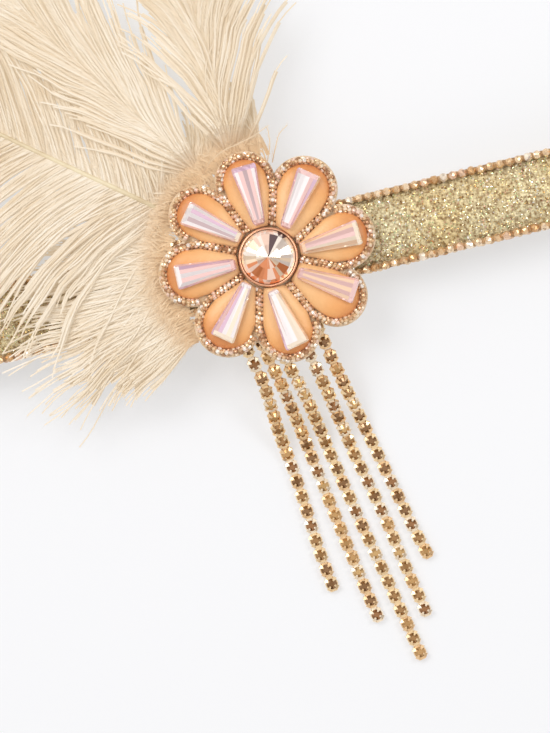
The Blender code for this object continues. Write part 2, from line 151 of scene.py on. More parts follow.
def rings_to_faces(count, size, closed=False, caps=True):
    """List the faces that join rings of points, and close the two ends."""
    faces = []
    for k in range(count if closed else count - 1):
        a = k * size
        b = ((k + 1) % count) * size
        for i in range(size):
            j = (i + 1) % size
            faces.append((a + i, a + j, b + j, b + i))
    if caps and not closed:
        faces.append(tuple(reversed(range(size))))
        faces.append(tuple((count - 1) * size + i for i in range(size)))
    return faces


def path_object(name, paths, closed=False):
    """Make a curve object with one straight-sided spline for each path, in millimetres."""
    curve = bpy.data.curves.new(name, "CURVE")
    curve.dimensions = "3D"
    for points in paths:
        spline = curve.splines.new("POLY")
        spline.points.add(len(points) - 1)
        flat = [c for p in points for c in (p.x * MM, p.y * MM, p.z * MM, 1.0)]
        spline.points.foreach_set("co", flat)
        spline.use_cyclic_u = closed
    path = bpy.data.objects.new(name, curve)
    bpy.context.scene.collection.objects.link(path)
    return path


def settle(piece, slot, *nodes):
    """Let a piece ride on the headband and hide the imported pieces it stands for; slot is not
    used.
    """
    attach(piece, "root")
    if nodes:
        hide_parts(*nodes)


def feed(tree, socket, value):
    """Give a node's input a value, or link another node's output to it."""
    if isinstance(value, bpy.types.NodeSocket):
        tree.links.new(value, socket)
    else:
        socket.default_value = value


def add_node(tree, kind, options=None, **inputs):
    """Add a node, set its options, then feed the inputs that are named."""
    node = tree.nodes.new(kind)
    for name, value in (options or {}).items():
        setattr(node, name, value)
    for label, value in inputs.items():
        feed(tree, node.inputs[label.replace("_", " ")], value)
    return node

# %% [markdown]
# ## Camera
# A flat lay like this is photographed from straight above with a longish lens, so nothing
# leans. The band runs up to the right in the picture, so the camera is turned about its own
# axis by that slant. The frame's height at the flower gives the lens once the distance is set.

# %% Camera straight above, turned to the band's slant
CAMERA_SLANT = 13.8
CAMERA_DISTANCE = 2400.0
FLOWER_PLANE = 9.0
VIEW_CENTRE = (-5.2, -28.6)
VIEW_HEIGHT = 194.2
SENSOR = 36.0

camera_data = bpy.data.cameras.new("camera")
camera_data.sensor_width = SENSOR
camera_data.lens = SENSOR * CAMERA_DISTANCE / VIEW_HEIGHT
camera_data.clip_start = 0.01
camera = bpy.data.objects.new("camera", camera_data)
camera.location = Vector((*VIEW_CENTRE, FLOWER_PLANE + CAMERA_DISTANCE)) * MM
camera.rotation_euler = (0.0, 0.0, -math.radians(CAMERA_SLANT))
bpy.context.scene.collection.objects.link(camera)
bpy.context.scene.camera = camera
print("lens", round(camera_data.lens, 1), "mm")

# %% [markdown]
# ## Light and table
# Cut glass and metal beads only sparkle when they have bright and dark things to mirror, so
# the surrounding room is made of soft pale and dark patches. Two large lamps above give the
# even, nearly shadowless light of a product picture.

# %% Room light, lamps and table
surface_z = cad_box[0].z
bpy.context.scene.view_settings.view_transform = "Standard"

world = bpy.data.worlds.new("studio")
bpy.context.scene.world = world
world.use_nodes = True
room = world.node_tree
background = room.nodes["Background"]
direction = add_node(room, "ShaderNodeTexCoord")
patches = add_node(room, "ShaderNodeTexNoise", Vector=direction.outputs["Generated"], Scale=2.2,
                   Detail=1.0)
patch_ramp = add_node(room, "ShaderNodeValToRGB", Fac=patches.outputs["Fac"])
for stop, position, tone in ((0, 0.42, (0.16, 0.11, 0.10, 1.0)), (1, 0.52, (1.0, 0.98, 0.96, 1.0))):
    patch_ramp.color_ramp.elements[stop].position = position
    patch_ramp.color_ramp.elements[stop].color = tone
feed(room, background.inputs["Color"], patch_ramp.outputs["Color"])
background.inputs["Strength"].default_value = 0.9


def soft_lamp(name, place, aim, width, power):
    """Hang a square lamp at a place, facing a point; lengths in millimetres."""
    lamp_data = bpy.data.lights.new(name, "AREA")
    lamp_data.size = width * MM
    lamp_data.energy = power
    lamp = bpy.data.objects.new(name, lamp_data)
    lamp.location = Vector(place) * MM
    facing = (Vector(aim) - Vector(place)).to_track_quat("-Z", "Y")
    lamp.rotation_euler = facing.to_euler()
    bpy.context.scene.collection.objects.link(lamp)


soft_lamp("key_lamp", (-350.0, 380.0, 800.0), (0.0, 0.0, 0.0), 420.0, 3.6)
soft_lamp("fill_lamp", (480.0, 60.0, 620.0), (0.0, -20.0, 0.0), 260.0, 1.4)

table_material = bpy.data.materials.new("table_white")
table_material.use_nodes = True
table_shader = table_material.node_tree.nodes["Principled BSDF"]
table_shader.inputs["Base Color"].default_value = (0.42, 0.425, 0.44, 1.0)
table_shader.inputs["Emission Color"].default_value = (0.98, 0.99, 1.0, 1.0)
table_shader.inputs["Emission Strength"].default_value = 0.49
table_shader.inputs["Roughness"].default_value = 0.9
table_shader.inputs["Specular IOR Level"].default_value = 0.1
TABLE_HALF = 1500.0
TABLE_GAP = 0.05
table_z = surface_z / MM - TABLE_GAP
table_corners = [Vector((x, y, table_z)) for x, y in
                 ((-TABLE_HALF, -TABLE_HALF), (TABLE_HALF, -TABLE_HALF),
                  (TABLE_HALF, TABLE_HALF), (-TABLE_HALF, TABLE_HALF))]
table = mesh_piece("table", table_corners, [(0, 1, 2, 3)], [table_material], smooth=False)
print("table at", round(table_z, 2), "mm")

# %% [markdown]
# ## Finishes
# Several finishes share two effects: a soft change of colour from place to place, and a fine
# grain that roughens the surface. Each effect is one shader group, built once and set
# differently in each material, so the cloth, felt and feathers stay related.

# %% Shader groups shared by the finishes


def linear(colour):
    """Turn a colour as it looks on screen into the linear colour that Blender mixes."""
    spread = [c / 12.92 if c <= 0.04045 else ((c + 0.055) / 1.055) ** 2.4 for c in colour]
    return (*spread, 1.0)


def fill_ramp(ramp, stops):
    """Set a colour ramp's stops, each a position and a colour as it looks on screen."""
    while len(ramp.color_ramp.elements) < len(stops):
        ramp.color_ramp.elements.new(0.5)
    for element, (position, colour) in zip(ramp.color_ramp.elements, stops):
        element.position = position
        element.color = linear(colour)


def shader_group(name, inputs, outputs):
    """Start a shader group with named inputs and outputs."""
    group = bpy.data.node_groups.new(name, "ShaderNodeTree")
    for label, kind, value in inputs:
        socket = group.interface.new_socket(label, in_out="INPUT", socket_type=kind)
        socket.default_value = value
    for label, kind in outputs:
        group.interface.new_socket(label, in_out="OUTPUT", socket_type=kind)
    entry = group.nodes.new("NodeGroupInput")
    leave = group.nodes.new("NodeGroupOutput")
    return group, entry, leave


def build_drift_group():
    """Colour that drifts between two tones in soft patches."""
    group, entry, leave = shader_group(
        "colour drift",
        [("Patch Scale", "NodeSocketFloat", 60.0), ("Light Tone", "NodeSocketColor", (1, 1, 1, 1)),
         ("Dark Tone", "NodeSocketColor", (0.5, 0.5, 0.5, 1))],
        [("Color", "NodeSocketColor")])
    place = add_node(group, "ShaderNodeTexCoord")
    speckle = add_node(group, "ShaderNodeTexNoise", Vector=place.outputs["Object"],
                       Scale=entry.outputs["Patch Scale"], Detail=3.0)
    spread = add_node(group, "ShaderNodeMapRange", Value=speckle.outputs["Fac"], From_Min=0.35,
                      From_Max=0.65)
    blend = add_node(group, "ShaderNodeMix", {"data_type": "RGBA"},
                     Factor=spread.outputs["Result"], A=entry.outputs["Dark Tone"],
                     B=entry.outputs["Light Tone"])
    feed(group, leave.inputs["Color"], blend.outputs["Result"])
    return group


def build_grain_group():
    """A height that rises and falls as a fine grain, for a Bump node."""
    group, entry, leave = shader_group(
        "fine grain",
        [("Grain Scale", "NodeSocketFloat", 900.0), ("Stretch", "NodeSocketVector", (1, 1, 1))],
        [("Height", "NodeSocketFloat")])
    place = add_node(group, "ShaderNodeTexCoord")
    stretch = add_node(group, "ShaderNodeVectorMath", {"operation": "MULTIPLY"})
    feed(group, stretch.inputs[0], place.outputs["Object"])
    feed(group, stretch.inputs[1], entry.outputs["Stretch"])
    speckle = add_node(group, "ShaderNodeTexNoise", Vector=stretch.outputs["Vector"],
                       Scale=entry.outputs["Grain Scale"], Detail=2.0)
    feed(group, leave.inputs["Height"], speckle.outputs["Fac"])
    return group


drift_group = build_drift_group()
grain_group = build_grain_group()
print("shared effects:", drift_group.name, "and", grain_group.name)


def new_finish(name, colour, roughness, metallic=0.0, **sockets):
    """Start a Principled material; further sockets are given by name."""
    material = bpy.data.materials.new(name)
    material.use_nodes = True
    values = {"Base Color": linear(colour), "Roughness": roughness, "Metallic": metallic}
    values.update({label.replace("_", " "): value for label, value in sockets.items()})
    for label, value in values.items():
        material.node_tree.nodes["Principled BSDF"].inputs[label].default_value = value
    return material


def paint(material, socket, label="Base Color"):
    """Link a socket to one of the inputs of a material's Principled shader."""
    tree = material.node_tree
    tree.links.new(socket, tree.nodes["Principled BSDF"].inputs[label])


def drift_between(tree, scale, light, dark):
    """Place the drift group in a material and return its colour."""
    drift = add_node(tree, "ShaderNodeGroup", {"node_tree": drift_group}, Patch_Scale=scale,
                     Light_Tone=linear(light), Dark_Tone=linear(dark))
    return drift.outputs["Color"]


def add_drift(material, scale, light, dark):
    """Let a material's colour drift between two tones."""
    paint(material, drift_between(material.node_tree, scale, light, dark))


def add_grain(material, scale, depth):
    """Give a material a fine grain, depth in millimetres."""
    tree = material.node_tree
    grain = add_node(tree, "ShaderNodeGroup", {"node_tree": grain_group}, Grain_Scale=scale)
    bump = add_node(tree, "ShaderNodeBump", Distance=depth * MM, Height=grain.outputs["Height"])
    paint(material, bump.outputs["Normal"], "Normal")


def multiply_by_mask(material, mask, tint):
    """Multiply a finish's colour by a tint where the mask is 0, fading out where it is 1."""
    tree = material.node_tree
    plain = tree.nodes["Principled BSDF"].inputs["Base Color"].links[0].from_socket
    tone = add_node(tree, "ShaderNodeValToRGB", Fac=mask)
    fill_ramp(tone, ((0.0, tint), (1.0, (1.0, 1.0, 1.0))))
    darkened = add_node(tree, "ShaderNodeMix", {"data_type": "RGBA", "blend_type": "MULTIPLY"},
                     Factor=1.0, A=plain, B=tone.outputs["Color"])
    paint(material, darkened.outputs["Result"])


def stain_in_patches(material, scale, tint):
    """Tint a finish in broad soft patches."""
    tree = material.node_tree
    place = add_node(tree, "ShaderNodeTexCoord")
    patches = add_node(tree, "ShaderNodeTexNoise", Vector=place.outputs["Object"], Scale=scale,
                       Detail=2.0)
    spread = add_node(tree, "ShaderNodeMapRange", Value=patches.outputs["Fac"], From_Min=0.38,
                      From_Max=0.6)
    multiply_by_mask(material, spread.outputs["Result"], tint)


def reach_from_axis(tree):
    """Return how far each shaded point lies from the flower's axis, in metres."""
    place = add_node(tree, "ShaderNodeTexCoord")
    flat = add_node(tree, "ShaderNodeVectorMath", {"operation": "MULTIPLY"})
    feed(tree, flat.inputs[0], place.outputs["Object"])
    feed(tree, flat.inputs[1], (1.0, 1.0, 0.0))
    reach = add_node(tree, "ShaderNodeVectorMath", {"operation": "LENGTH"})
    feed(tree, reach.inputs[0], flat.outputs["Vector"])
    return reach.outputs["Value"]


def add_shades(material, stops, blend="CONSTANT", patch_scale=0.0):
    """Colour each bead, facet or barb by its own stored shade, through a colour ramp."""
    tree = material.node_tree
    shade = add_node(tree, "ShaderNodeAttribute", {"attribute_name": "shade"}).outputs["Fac"]
    if patch_scale:
        drift = drift_between(tree, patch_scale, (1.0, 1.0, 1.0), (0.0, 0.0, 0.0))
        shade = add_node(tree, "ShaderNodeMix", Factor=0.4, A=shade, B=drift).outputs["Result"]
    ramp = add_node(tree, "ShaderNodeValToRGB", Fac=shade)
    ramp.color_ramp.interpolation = blend
    fill_ramp(ramp, stops)
    paint(material, ramp.outputs["Color"])

# %% [markdown]
# ## Strings of beads
# The band's edges and the petals are outlined with round beads on a thread. A maker strings
# them one by one. Here a Geometry Nodes tree does it: it walks along a path, places a copy of
# one bead every so many millimetres, turns each by a small random angle and stores a random
# shade for its colour. The same tree later threads the cups of the fringe.

# %% Geometry Nodes tree that threads copies along a path


def node_tree(name, inputs):
    """Start a Geometry Nodes tree with named inputs after its geometry."""
    tree = bpy.data.node_groups.new(name, "GeometryNodeTree")
    tree.interface.new_socket("Geometry", in_out="INPUT", socket_type="NodeSocketGeometry")
    for label, kind, value in inputs:
        socket = tree.interface.new_socket(label, in_out="INPUT", socket_type=kind)
        if value is not None:
            socket.default_value = value
    tree.interface.new_socket("Geometry", in_out="OUTPUT", socket_type="NodeSocketGeometry")
    return tree, tree.nodes.new("NodeGroupInput"), tree.nodes.new("NodeGroupOutput")


def random_between(tree, low, high, seed, kind="FLOAT"):
    """Add a Random Value node; low, high and seed are values or sockets."""
    node = add_node(tree, "FunctionNodeRandomValue", {"data_type": kind}, Seed=seed)
    lowest, highest = [s for s in node.inputs if s.enabled][:2]
    feed(tree, lowest, low)
    feed(tree, highest, high)
    return next(s for s in node.outputs if s.enabled)


def calculate(tree, operation, *values):
    """Do a sum on values or sockets and return its result."""
    node = add_node(tree, "ShaderNodeMath", {"operation": operation})
    for socket, value in zip(node.inputs, values):
        feed(tree, socket, value)
    return node.outputs[0]


def scaled(tree, socket, factor):
    """Multiply a socket's value by a number."""
    return calculate(tree, "MULTIPLY", socket, factor)


def combine(tree, x, y, z):
    """Make a vector from three values or sockets."""
    return add_node(tree, "ShaderNodeCombineXYZ", X=x, Y=y, Z=z).outputs[0]


def facing_along(tree):
    """Return a rotation that points X along the path and keeps Z as upright as it can."""
    tangent = add_node(tree, "GeometryNodeInputTangent")
    ahead = add_node(tree, "FunctionNodeAlignRotationToVector", {"axis": "X"},
                     Vector=tangent.outputs[0])
    upright = add_node(tree, "FunctionNodeAlignRotationToVector",
                       {"axis": "Z", "pivot_axis": "X"}, Vector=(0.0, 0.0, 1.0),
                       Rotation=ahead.outputs[0])
    return upright.outputs[0]


def turned(tree, rotation, euler):
    """Turn a rotation further, about its own axes."""
    to_rotation = tree.nodes.new("FunctionNodeEulerToRotation")
    turn = tree.nodes.new("FunctionNodeRotateRotation")
    turn.rotation_space = "LOCAL"
    tree.links.new(euler, to_rotation.inputs[0])
    tree.links.new(rotation, turn.inputs[0])
    tree.links.new(to_rotation.outputs[0], turn.inputs[1])
    return turn.outputs[0]


def copies_on(tree, points, copied, rotation, size, seed):
    """Place copies of an object on points, each with a random shade if a seed is given."""
    info = add_node(tree, "GeometryNodeObjectInfo", Object=copied)
    place = add_node(tree, "GeometryNodeInstanceOnPoints", Points=points,
                     Instance=info.outputs["Geometry"], Rotation=rotation,
                     Scale=combine(tree, size, size, size))
    if seed is None:
        return place.outputs["Instances"]
    store = add_node(tree, "GeometryNodeStoreNamedAttribute",
                     {"data_type": "FLOAT", "domain": "INSTANCE"}, Name="shade",
                     Geometry=place.outputs["Instances"],
                     Value=random_between(tree, 0.0, 1.0, seed))
    return store.outputs["Geometry"]


def finish_tree(tree, geometry, material, leave):
    """End a tree in Realize Instances and Set Material."""
    realize = add_node(tree, "GeometryNodeRealizeInstances", Geometry=geometry)
    coat = add_node(tree, "GeometryNodeSetMaterial", Geometry=realize.outputs["Geometry"],
                    Material=material)
    feed(tree, leave.inputs["Geometry"], coat.outputs["Geometry"])


def build_string_tree():
    """Build the tree that threads copies along a path."""
    tree, entry, leave = node_tree("thread along path", [
        ("Spacing", "NodeSocketFloat", 0.0025), ("Tilt", "NodeSocketFloat", 0.3),
        ("Size Change", "NodeSocketFloat", 0.05), ("Wander", "NodeSocketFloat", 0.0),
        ("Seed", "NodeSocketInt", 1), ("Copied", "NodeSocketObject", None),
        ("Finish", "NodeSocketMaterial", None)])
    tilt, wander, change, seed = (entry.outputs[label] for label in
                                  ("Tilt", "Wander", "Size Change", "Seed"))
    space = add_node(tree, "GeometryNodeResampleCurve", {"mode": "LENGTH"},
                     Curve=entry.outputs["Geometry"], Length=entry.outputs["Spacing"])
    stray = scaled(tree, wander, -1.0)
    drift = random_between(tree, combine(tree, stray, stray, 0.0),
                           combine(tree, wander, wander, 0.0), seed, "FLOAT_VECTOR")
    shift = add_node(tree, "GeometryNodeSetPosition", Geometry=space.outputs["Curve"],
                     Offset=drift)
    back = scaled(tree, tilt, -1.0)
    lean = random_between(tree, combine(tree, back, back, back),
                          combine(tree, tilt, tilt, tilt), seed, "FLOAT_VECTOR")
    size = calculate(tree, "ADD", random_between(tree, scaled(tree, change, -1.0), change, seed),
                     1.0)
    copies = copies_on(tree, shift.outputs["Geometry"], entry.outputs["Copied"],
                       turned(tree, facing_along(tree), lean), size, seed)
    finish_tree(tree, copies, entry.outputs["Finish"], leave)
    return tree


def grow(name, source, tree, values, smooth=False):
    """Run a tree on an object, keep the result as a plain mesh and drop the source."""
    modifier = source.modifiers.new("grow", "NODES")
    modifier.node_group = tree
    for item in tree.interface.items_tree:
        if item.in_out == "INPUT" and item.name in values:
            modifier[item.identifier] = values[item.name]
    depsgraph = bpy.context.evaluated_depsgraph_get()
    mesh = bpy.data.meshes.new_from_object(source.evaluated_get(depsgraph), depsgraph=depsgraph)
    mesh.name = name
    mesh.polygons.foreach_set("use_smooth", [smooth] * len(mesh.polygons))
    piece = bpy.data.objects.new(name, mesh)
    bpy.context.scene.collection.objects.link(piece)
    bpy.data.objects.remove(source, do_unlink=True)
    return piece


def put_away(template):
    """Remove a bead or grain once everything that copies it is made."""
    bpy.data.objects.remove(template, do_unlink=True)


string_tree = build_string_tree()
print("nodes in the threading tree:", len(string_tree.nodes))


def turned_shape(name, profile, sides, material, stretch=(1.0, 1.0), twist=0.0):
    """Turn a profile of (radius, height) pairs round Z into a closed shape."""
    verts = []
    for k, (radius, height) in enumerate(profile):
        verts += [polar(radius, 360.0 * (i + twist * k) / sides, height)
                  for i in range(sides)]
    verts = [Vector((v.x * stretch[0], v.y * stretch[1], v.z)) for v in verts]
    return mesh_piece(name, verts, rings_to_faces(len(profile), sides), [material])

# %% [markdown]
# ## The ribbon and its glitter
# The band is a soft stretch ribbon coated in glitter. The ribbon itself is one closed loop
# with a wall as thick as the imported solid's, and its long edges are rounded a little.

# %% Ribbon loop
band_low, band_high = node_box("band")
BAND_THICKNESS = 1.2
BAND_TURN_STEPS = 16
band_half_width = (band_high.y - band_low.y) / 2
hollow = -2 * BAND_THICKNESS + (band_high.z - band_low.z)
band_half_run = band_high.x - hollow / 2 - BAND_THICKNESS


def band_loop(offset, run_steps=40):
    """Return (point, outward) pairs round the band, offset out from its inner face."""
    loop = []
    for side, first in ((1, 90.0), (-1, -90.0)):
        for i in range(BAND_TURN_STEPS + 1):
            outward = polar(1.0, first - 180.0 * i / BAND_TURN_STEPS)
            outward = Vector((outward.x, 0.0, outward.y))
            centre = Vector((side * band_half_run, 0.0, -hollow / 2))
            loop.append((centre + outward * (hollow / 2 + offset), outward))
        start = loop[-1][0]
        for i in range(1, run_steps):
            along = Vector((-side * 2 * band_half_run * i / run_steps, 0.0, 0.0))
            loop.append((start + along, Vector((0.0, 0.0, -side))))
    return loop


ribbon_cloth = new_finish("ribbon_cloth", (0.70, 0.61, 0.47), 0.55, 0.35)
add_drift(ribbon_cloth, 1300.0, (0.94, 0.90, 0.74), (0.58, 0.48, 0.33))
stain_in_patches(ribbon_cloth, 50.0, (0.98, 0.94, 0.87))
add_grain(ribbon_cloth, 2600.0, 0.15)

ROUNDING = 0.35
ribbon_verts = []
for point, outward in band_loop(0.0):
    across = Vector((0.0, band_half_width, 0.0))
    edge = Vector((0.0, band_half_width - ROUNDING, 0.0))
    outer = point + outward * BAND_THICKNESS
    inset = outward * ROUNDING
    ribbon_verts += [point - edge, point + edge, point + across + inset, outer + across - inset,
                     outer + edge, outer - edge, outer - across - inset, point - across + inset]
ribbon = mesh_piece("glitter_band", ribbon_verts,
                    rings_to_faces(len(band_loop(0.0)), 8, closed=True), [ribbon_cloth])
settle(ribbon, "glitter_ribbon", "band")

# %% [markdown]
# ## Glitter
# The glitter is real geometry too. A second tree scatters thousands of copies of one small
# three-cornered grain over the ribbon's outer face. Each is turned and tipped by its own
# random amount, so that neighbours mirror different parts of the room.

# %% Glitter scattered over the ribbon's outer face
GRAIN_WIDTH = 0.72
GRAIN_LIFT = 0.04
BARE_EDGE = 1.1
GRAINS_PER_MM2 = 2.1

glitter = new_finish("glitter", (0.85, 0.76, 0.6), 0.22, 1.0)
add_shades(glitter, (
    (0.0, (0.93, 0.84, 0.62)), (0.26, (0.98, 0.94, 0.82)), (0.44, (0.86, 0.75, 0.52)),
    (0.60, (0.92, 0.88, 0.70)), (0.72, (0.66, 0.52, 0.32)), (0.82, (0.84, 0.92, 0.74)),
    (0.89, (0.96, 0.80, 0.72)), (0.94, (1.0, 1.0, 0.98))))
stain_in_patches(glitter, 50.0, (0.99, 0.97, 0.92))


def build_scatter_tree():
    """Build the tree that scatters copies over a surface, each tipped its own way."""
    tree, entry, leave = node_tree("scatter over surface", [
        ("Density", "NodeSocketFloat", 1.0e6), ("Tilt", "NodeSocketFloat", 0.5),
        ("Seed", "NodeSocketInt", 1), ("Copied", "NodeSocketObject", None),
        ("Finish", "NodeSocketMaterial", None)])
    tilt, seed = entry.outputs["Tilt"], entry.outputs["Seed"]
    spread = add_node(tree, "GeometryNodeDistributePointsOnFaces", Mesh=entry.outputs["Geometry"],
                      Density=entry.outputs["Density"], Seed=seed)
    back = scaled(tree, tilt, -1.0)
    lean = random_between(tree, combine(tree, back, back, -math.pi),
                          combine(tree, tilt, tilt, math.pi), seed, "FLOAT_VECTOR")
    copies = copies_on(tree, spread.outputs["Points"], entry.outputs["Copied"],
                       turned(tree, spread.outputs["Rotation"], lean),
                       random_between(tree, 0.6, 1.15, seed), seed)
    finish_tree(tree, copies, entry.outputs["Finish"], leave)
    return tree


grain_template = turned_shape("grain", ((0.001, -0.09), (GRAIN_WIDTH / 2, 0.0), (0.001, 0.09)),
                              3, glitter)
face_verts = []
for point, outward in band_loop(BAND_THICKNESS + GRAIN_LIFT):
    for side in (1, -1):
        face_verts.append(point + Vector((0.0, side * (band_half_width - BARE_EDGE), 0.0)))
face_count = len(face_verts) // 2
face_quads = [(2 * k, 2 * k + 1, (2 * k + 3) % (2 * face_count), (2 * k + 2) % (2 * face_count))
              for k in range(face_count)]
glitter_face = mesh_piece("glitter_face", face_verts, face_quads, [glitter])
glitter_coat = grow("glitter_coat", glitter_face, build_scatter_tree(), {
    "Density": GRAINS_PER_MM2 / MM ** 2, "Tilt": 0.55, "Seed": 7,
    "Copied": grain_template, "Finish": glitter})
put_away(grain_template)
settle(glitter_coat, "glitter_ribbon")
print("glitter faces:", len(glitter_coat.data.polygons))

# %% [markdown]
# ## Bead trim along the band's edges
# Each edge carries one string of round, slightly flattened beads. They are metal-lined
# glass, so some look pale and some almost brown. The beads get ten flat faces round, which
# catches the light in glints, as the small facets on real ones do.

# %% Edge beads
EDGE_BEAD = 2.4
EDGE_PITCH = 2.57
SEAM_RADIUS = 0.85
SEAM_SINK = 0.05
THREAD_SIDES = 5
SEAT_GAP = 0.3
edge_finish = new_finish("edge_bead", (0.92, 0.78, 0.62), 0.26, 0.75)
add_shades(edge_finish, (
    (0.0, (0.95, 0.83, 0.68)), (0.3, (0.91, 0.77, 0.60)), (0.5, (0.97, 0.87, 0.74)),
    (0.72, (0.84, 0.67, 0.48)), (0.8, (0.94, 0.80, 0.68)), (0.92, (0.98, 0.92, 0.84))))


def bead_profile(diameter):
    """Return the profile of a slightly flattened round bead about its middle."""
    r = diameter / 2
    angles = (-72, -26, 26, 72)
    return [(r * math.cos(math.radians(a)), 0.97 * r * math.sin(math.radians(a)))
            for a in angles]


def thread_under(name, path, radius, closed=False):
    """Model the brown thread that the beads are sewn to; its brown in the gaps between them is also
    painted shade.
    """
    verts = []
    count = len(path)
    for i, p in enumerate(path):
        before = path[(i - 1) % count if closed else max(i - 1, 0)]
        after = path[(i + 1) % count if closed else min(i + 1, count - 1)]
        ahead = (after - before).normalized()
        side = ahead.cross(Vector((0.0, 1.0, 0.0) if closed else (0.0, 0.0, 1.0))).normalized()
        up = side.cross(ahead)
        turns = [i * math.tau / THREAD_SIDES for i in range(THREAD_SIDES)]
        verts += [p + (side * math.cos(a) + up * math.sin(a)) * radius for a in turns]
    faces = rings_to_faces(count, THREAD_SIDES, closed=closed)
    return mesh_piece(name, verts, faces, [thread_and_gap_shade])


# The thread's colour is partly its own brown and partly painted shade for the gaps between the
# beads.
thread_and_gap_shade = new_finish("bead_thread", (0.68, 0.54, 0.38), 0.8)
add_drift(thread_and_gap_shade, 700.0, (0.78, 0.64, 0.47), (0.60, 0.46, 0.31))
edge_template = turned_shape("edge_bead", bead_profile(EDGE_BEAD), 10, edge_finish)
for node, side in (("edge_trim_upper", 1), ("edge_trim_lower", -1)):
    low, high = node_box(node)
    shift = Vector((0.0, (low.y + high.y) / 2, 0.0))
    route = [p + shift for p, _ in band_loop(BAND_THICKNESS + SEAT_GAP + EDGE_BEAD / 2)]
    seam = [p + shift for p, _ in band_loop(BAND_THICKNESS + SEAM_RADIUS - SEAM_SINK)]
    thread = thread_under(node.replace("trim", "thread"), seam, SEAM_RADIUS, closed=True)
    settle(thread, "champagne_beads")
    path = path_object(node + "_path", [route], closed=True)
    beads = grow(node.replace("trim", "beads"), path, string_tree, {
        "Spacing": EDGE_PITCH * MM, "Tilt": 0.7, "Size Change": 0.05, "Wander": 0.12 * MM,
        "Seed": 20 + side,
        "Copied": edge_template, "Finish": edge_finish})
    settle(beads, "champagne_beads", node)
put_away(edge_template)
print("edge beads every", EDGE_PITCH, "mm")

# %% [markdown]
# ## The flower's plan
# Eight petals share one plan: a straight valley runs out from the middle on each side, and a
# round lobe closes the end. The table gives each petal's angles and reach, and the rest
# follows: the lobe's radius is what fits between its two valleys with room for the beads.

# %% Petal plan
PETAL_COLUMNS = ("valley_inner", "valley_outer", "tip_r", "stone_inner", "stone_outer")
PETALS = (
    (16.9, 24.5, 28.0, 46.0, 50.3),
    (69.8, 72.4, 27.8, 91.2, 91.8),
    (116.6, 114.5, 28.3, 132.1, 138.1),
    (156.0, 156.0, 28.4, 178.7, 178.9),
    (202.7, 201.5, 28.3, 217.7, 226.7),
    (240.9, 249.0, 27.5, 263.1, 274.8),
    (294.2, 295.0, 27.8, 318.7, 324.6),
    (342.9, 338.5, 28.0, 0.5, 1.7),
)
TRIM_BEAD = 1.8
TRIM_PAIR = 1.2
TRIM_FORK = 2.1
TRIM_INNER_R = 8.8
PAD_CLEARANCE = TRIM_BEAD / 2 + 0.02


def petal_layout():
    """Work out each petal's axis, round end and valleys from the table."""
    rows = [dict(zip(PETAL_COLUMNS, row)) for row in PETALS]
    for k, petal in enumerate(rows):
        following = rows[(k + 1) % len(rows)]
        span = (following["valley_outer"] - petal["valley_outer"]) % 360.0
        half = math.radians(span / 2)
        petal["axis"] = petal["valley_outer"] + span / 2
        petal["half"] = half
        petal["lobe_r"] = ((petal["tip_r"] * math.sin(half) - TRIM_PAIR)
                           / (math.cos(half) + math.sin(half)))
        petal["lobe_centre"] = petal["tip_r"] - petal["lobe_r"]
        petal["fork_r"] = (petal["lobe_centre"] * math.cos(half)
                           + petal["lobe_r"] * math.sin(half) - TRIM_FORK)
    for k, petal in enumerate(rows):
        petal["fork_r"] = min(petal["fork_r"], rows[k - 1]["fork_r"])
        petal["valley"] = (polar(TRIM_INNER_R, petal["valley_inner"]),
                           polar(petal["fork_r"], petal["valley_outer"]))
    for k, petal in enumerate(rows):
        petal["next_valley"] = rows[(k + 1) % len(rows)]["valley"]
    return rows


def lobe_arc(petal, radius, reach, steps, z):
    """Return points round a petal's outer end, from -reach to +reach of its axis."""
    centre = polar(petal["lobe_centre"], petal["axis"], z)
    return [centre + polar(radius, petal["axis"] + mix(-reach, reach, i / steps))
            for i in range(steps + 1)]


def beside_valley(valley, fraction, clearance, side):
    """Return a point next to a valley line, on its left (side 1) or right (side -1)."""
    inner, outer = valley
    along = (outer - inner).normalized()
    return mix(inner, outer, fraction) + Vector((-along.y, along.x, 0.0)) * clearance * side


petals = petal_layout()
print("petals:", len(petals))

# %% [markdown]
# ## Felt backing
# Everything on the flower is sewn to a lobed piece of cream felt, which shows as a thin rim.
# Felt has no weave, only a soft fibrous grain, and its cut edge is slightly rounded.

# %% Felt backing
backing_low = node_box("flower_backing")[0]
BACKING_RIM = 1.3
felt = new_finish("cream_felt", (0.95, 0.86, 0.73), 0.95, Sheen_Weight=0.2)
add_drift(felt, 350.0, (0.97, 0.88, 0.76), (0.88, 0.75, 0.58))
add_grain(felt, 1800.0, 0.35)


def backing_outline(inset):
    """Return the backing's outline drawn in by inset: eight arcs cut off at the valleys."""
    outline = []
    for k, petal in enumerate(petals):
        radius = petal["lobe_r"] + BACKING_RIM
        to_valley = petal["lobe_centre"] * math.sin(petal["half"])
        reach = 90.0 + math.degrees(petal["half"] - math.acos(to_valley / radius))
        arc = lobe_arc(petal, radius - inset, reach, 18, 0.0)
        following = petals[(k + 1) % len(petals)]
        outline += arc[1:-1]
        outline.append(polar((arc[-1].length + arc[-2].length) / 2 - 0.5,
                             following["valley_outer"]))
    return outline


felt_levels = ((0.25, 0.0), (0.0, 0.3), (0.0, 0.85), (0.35, 1.2))
felt_verts = []
for inset, rise in felt_levels:
    felt_verts += [Vector((p.x, p.y, backing_low.z + rise)) for p in backing_outline(inset)]
backing = mesh_piece("felt_backing", felt_verts,
                     rings_to_faces(len(felt_levels), len(backing_outline(0.0))), [felt])
settle(backing, "cream_felt", "flower_backing")
rim = backing_outline(0.0)
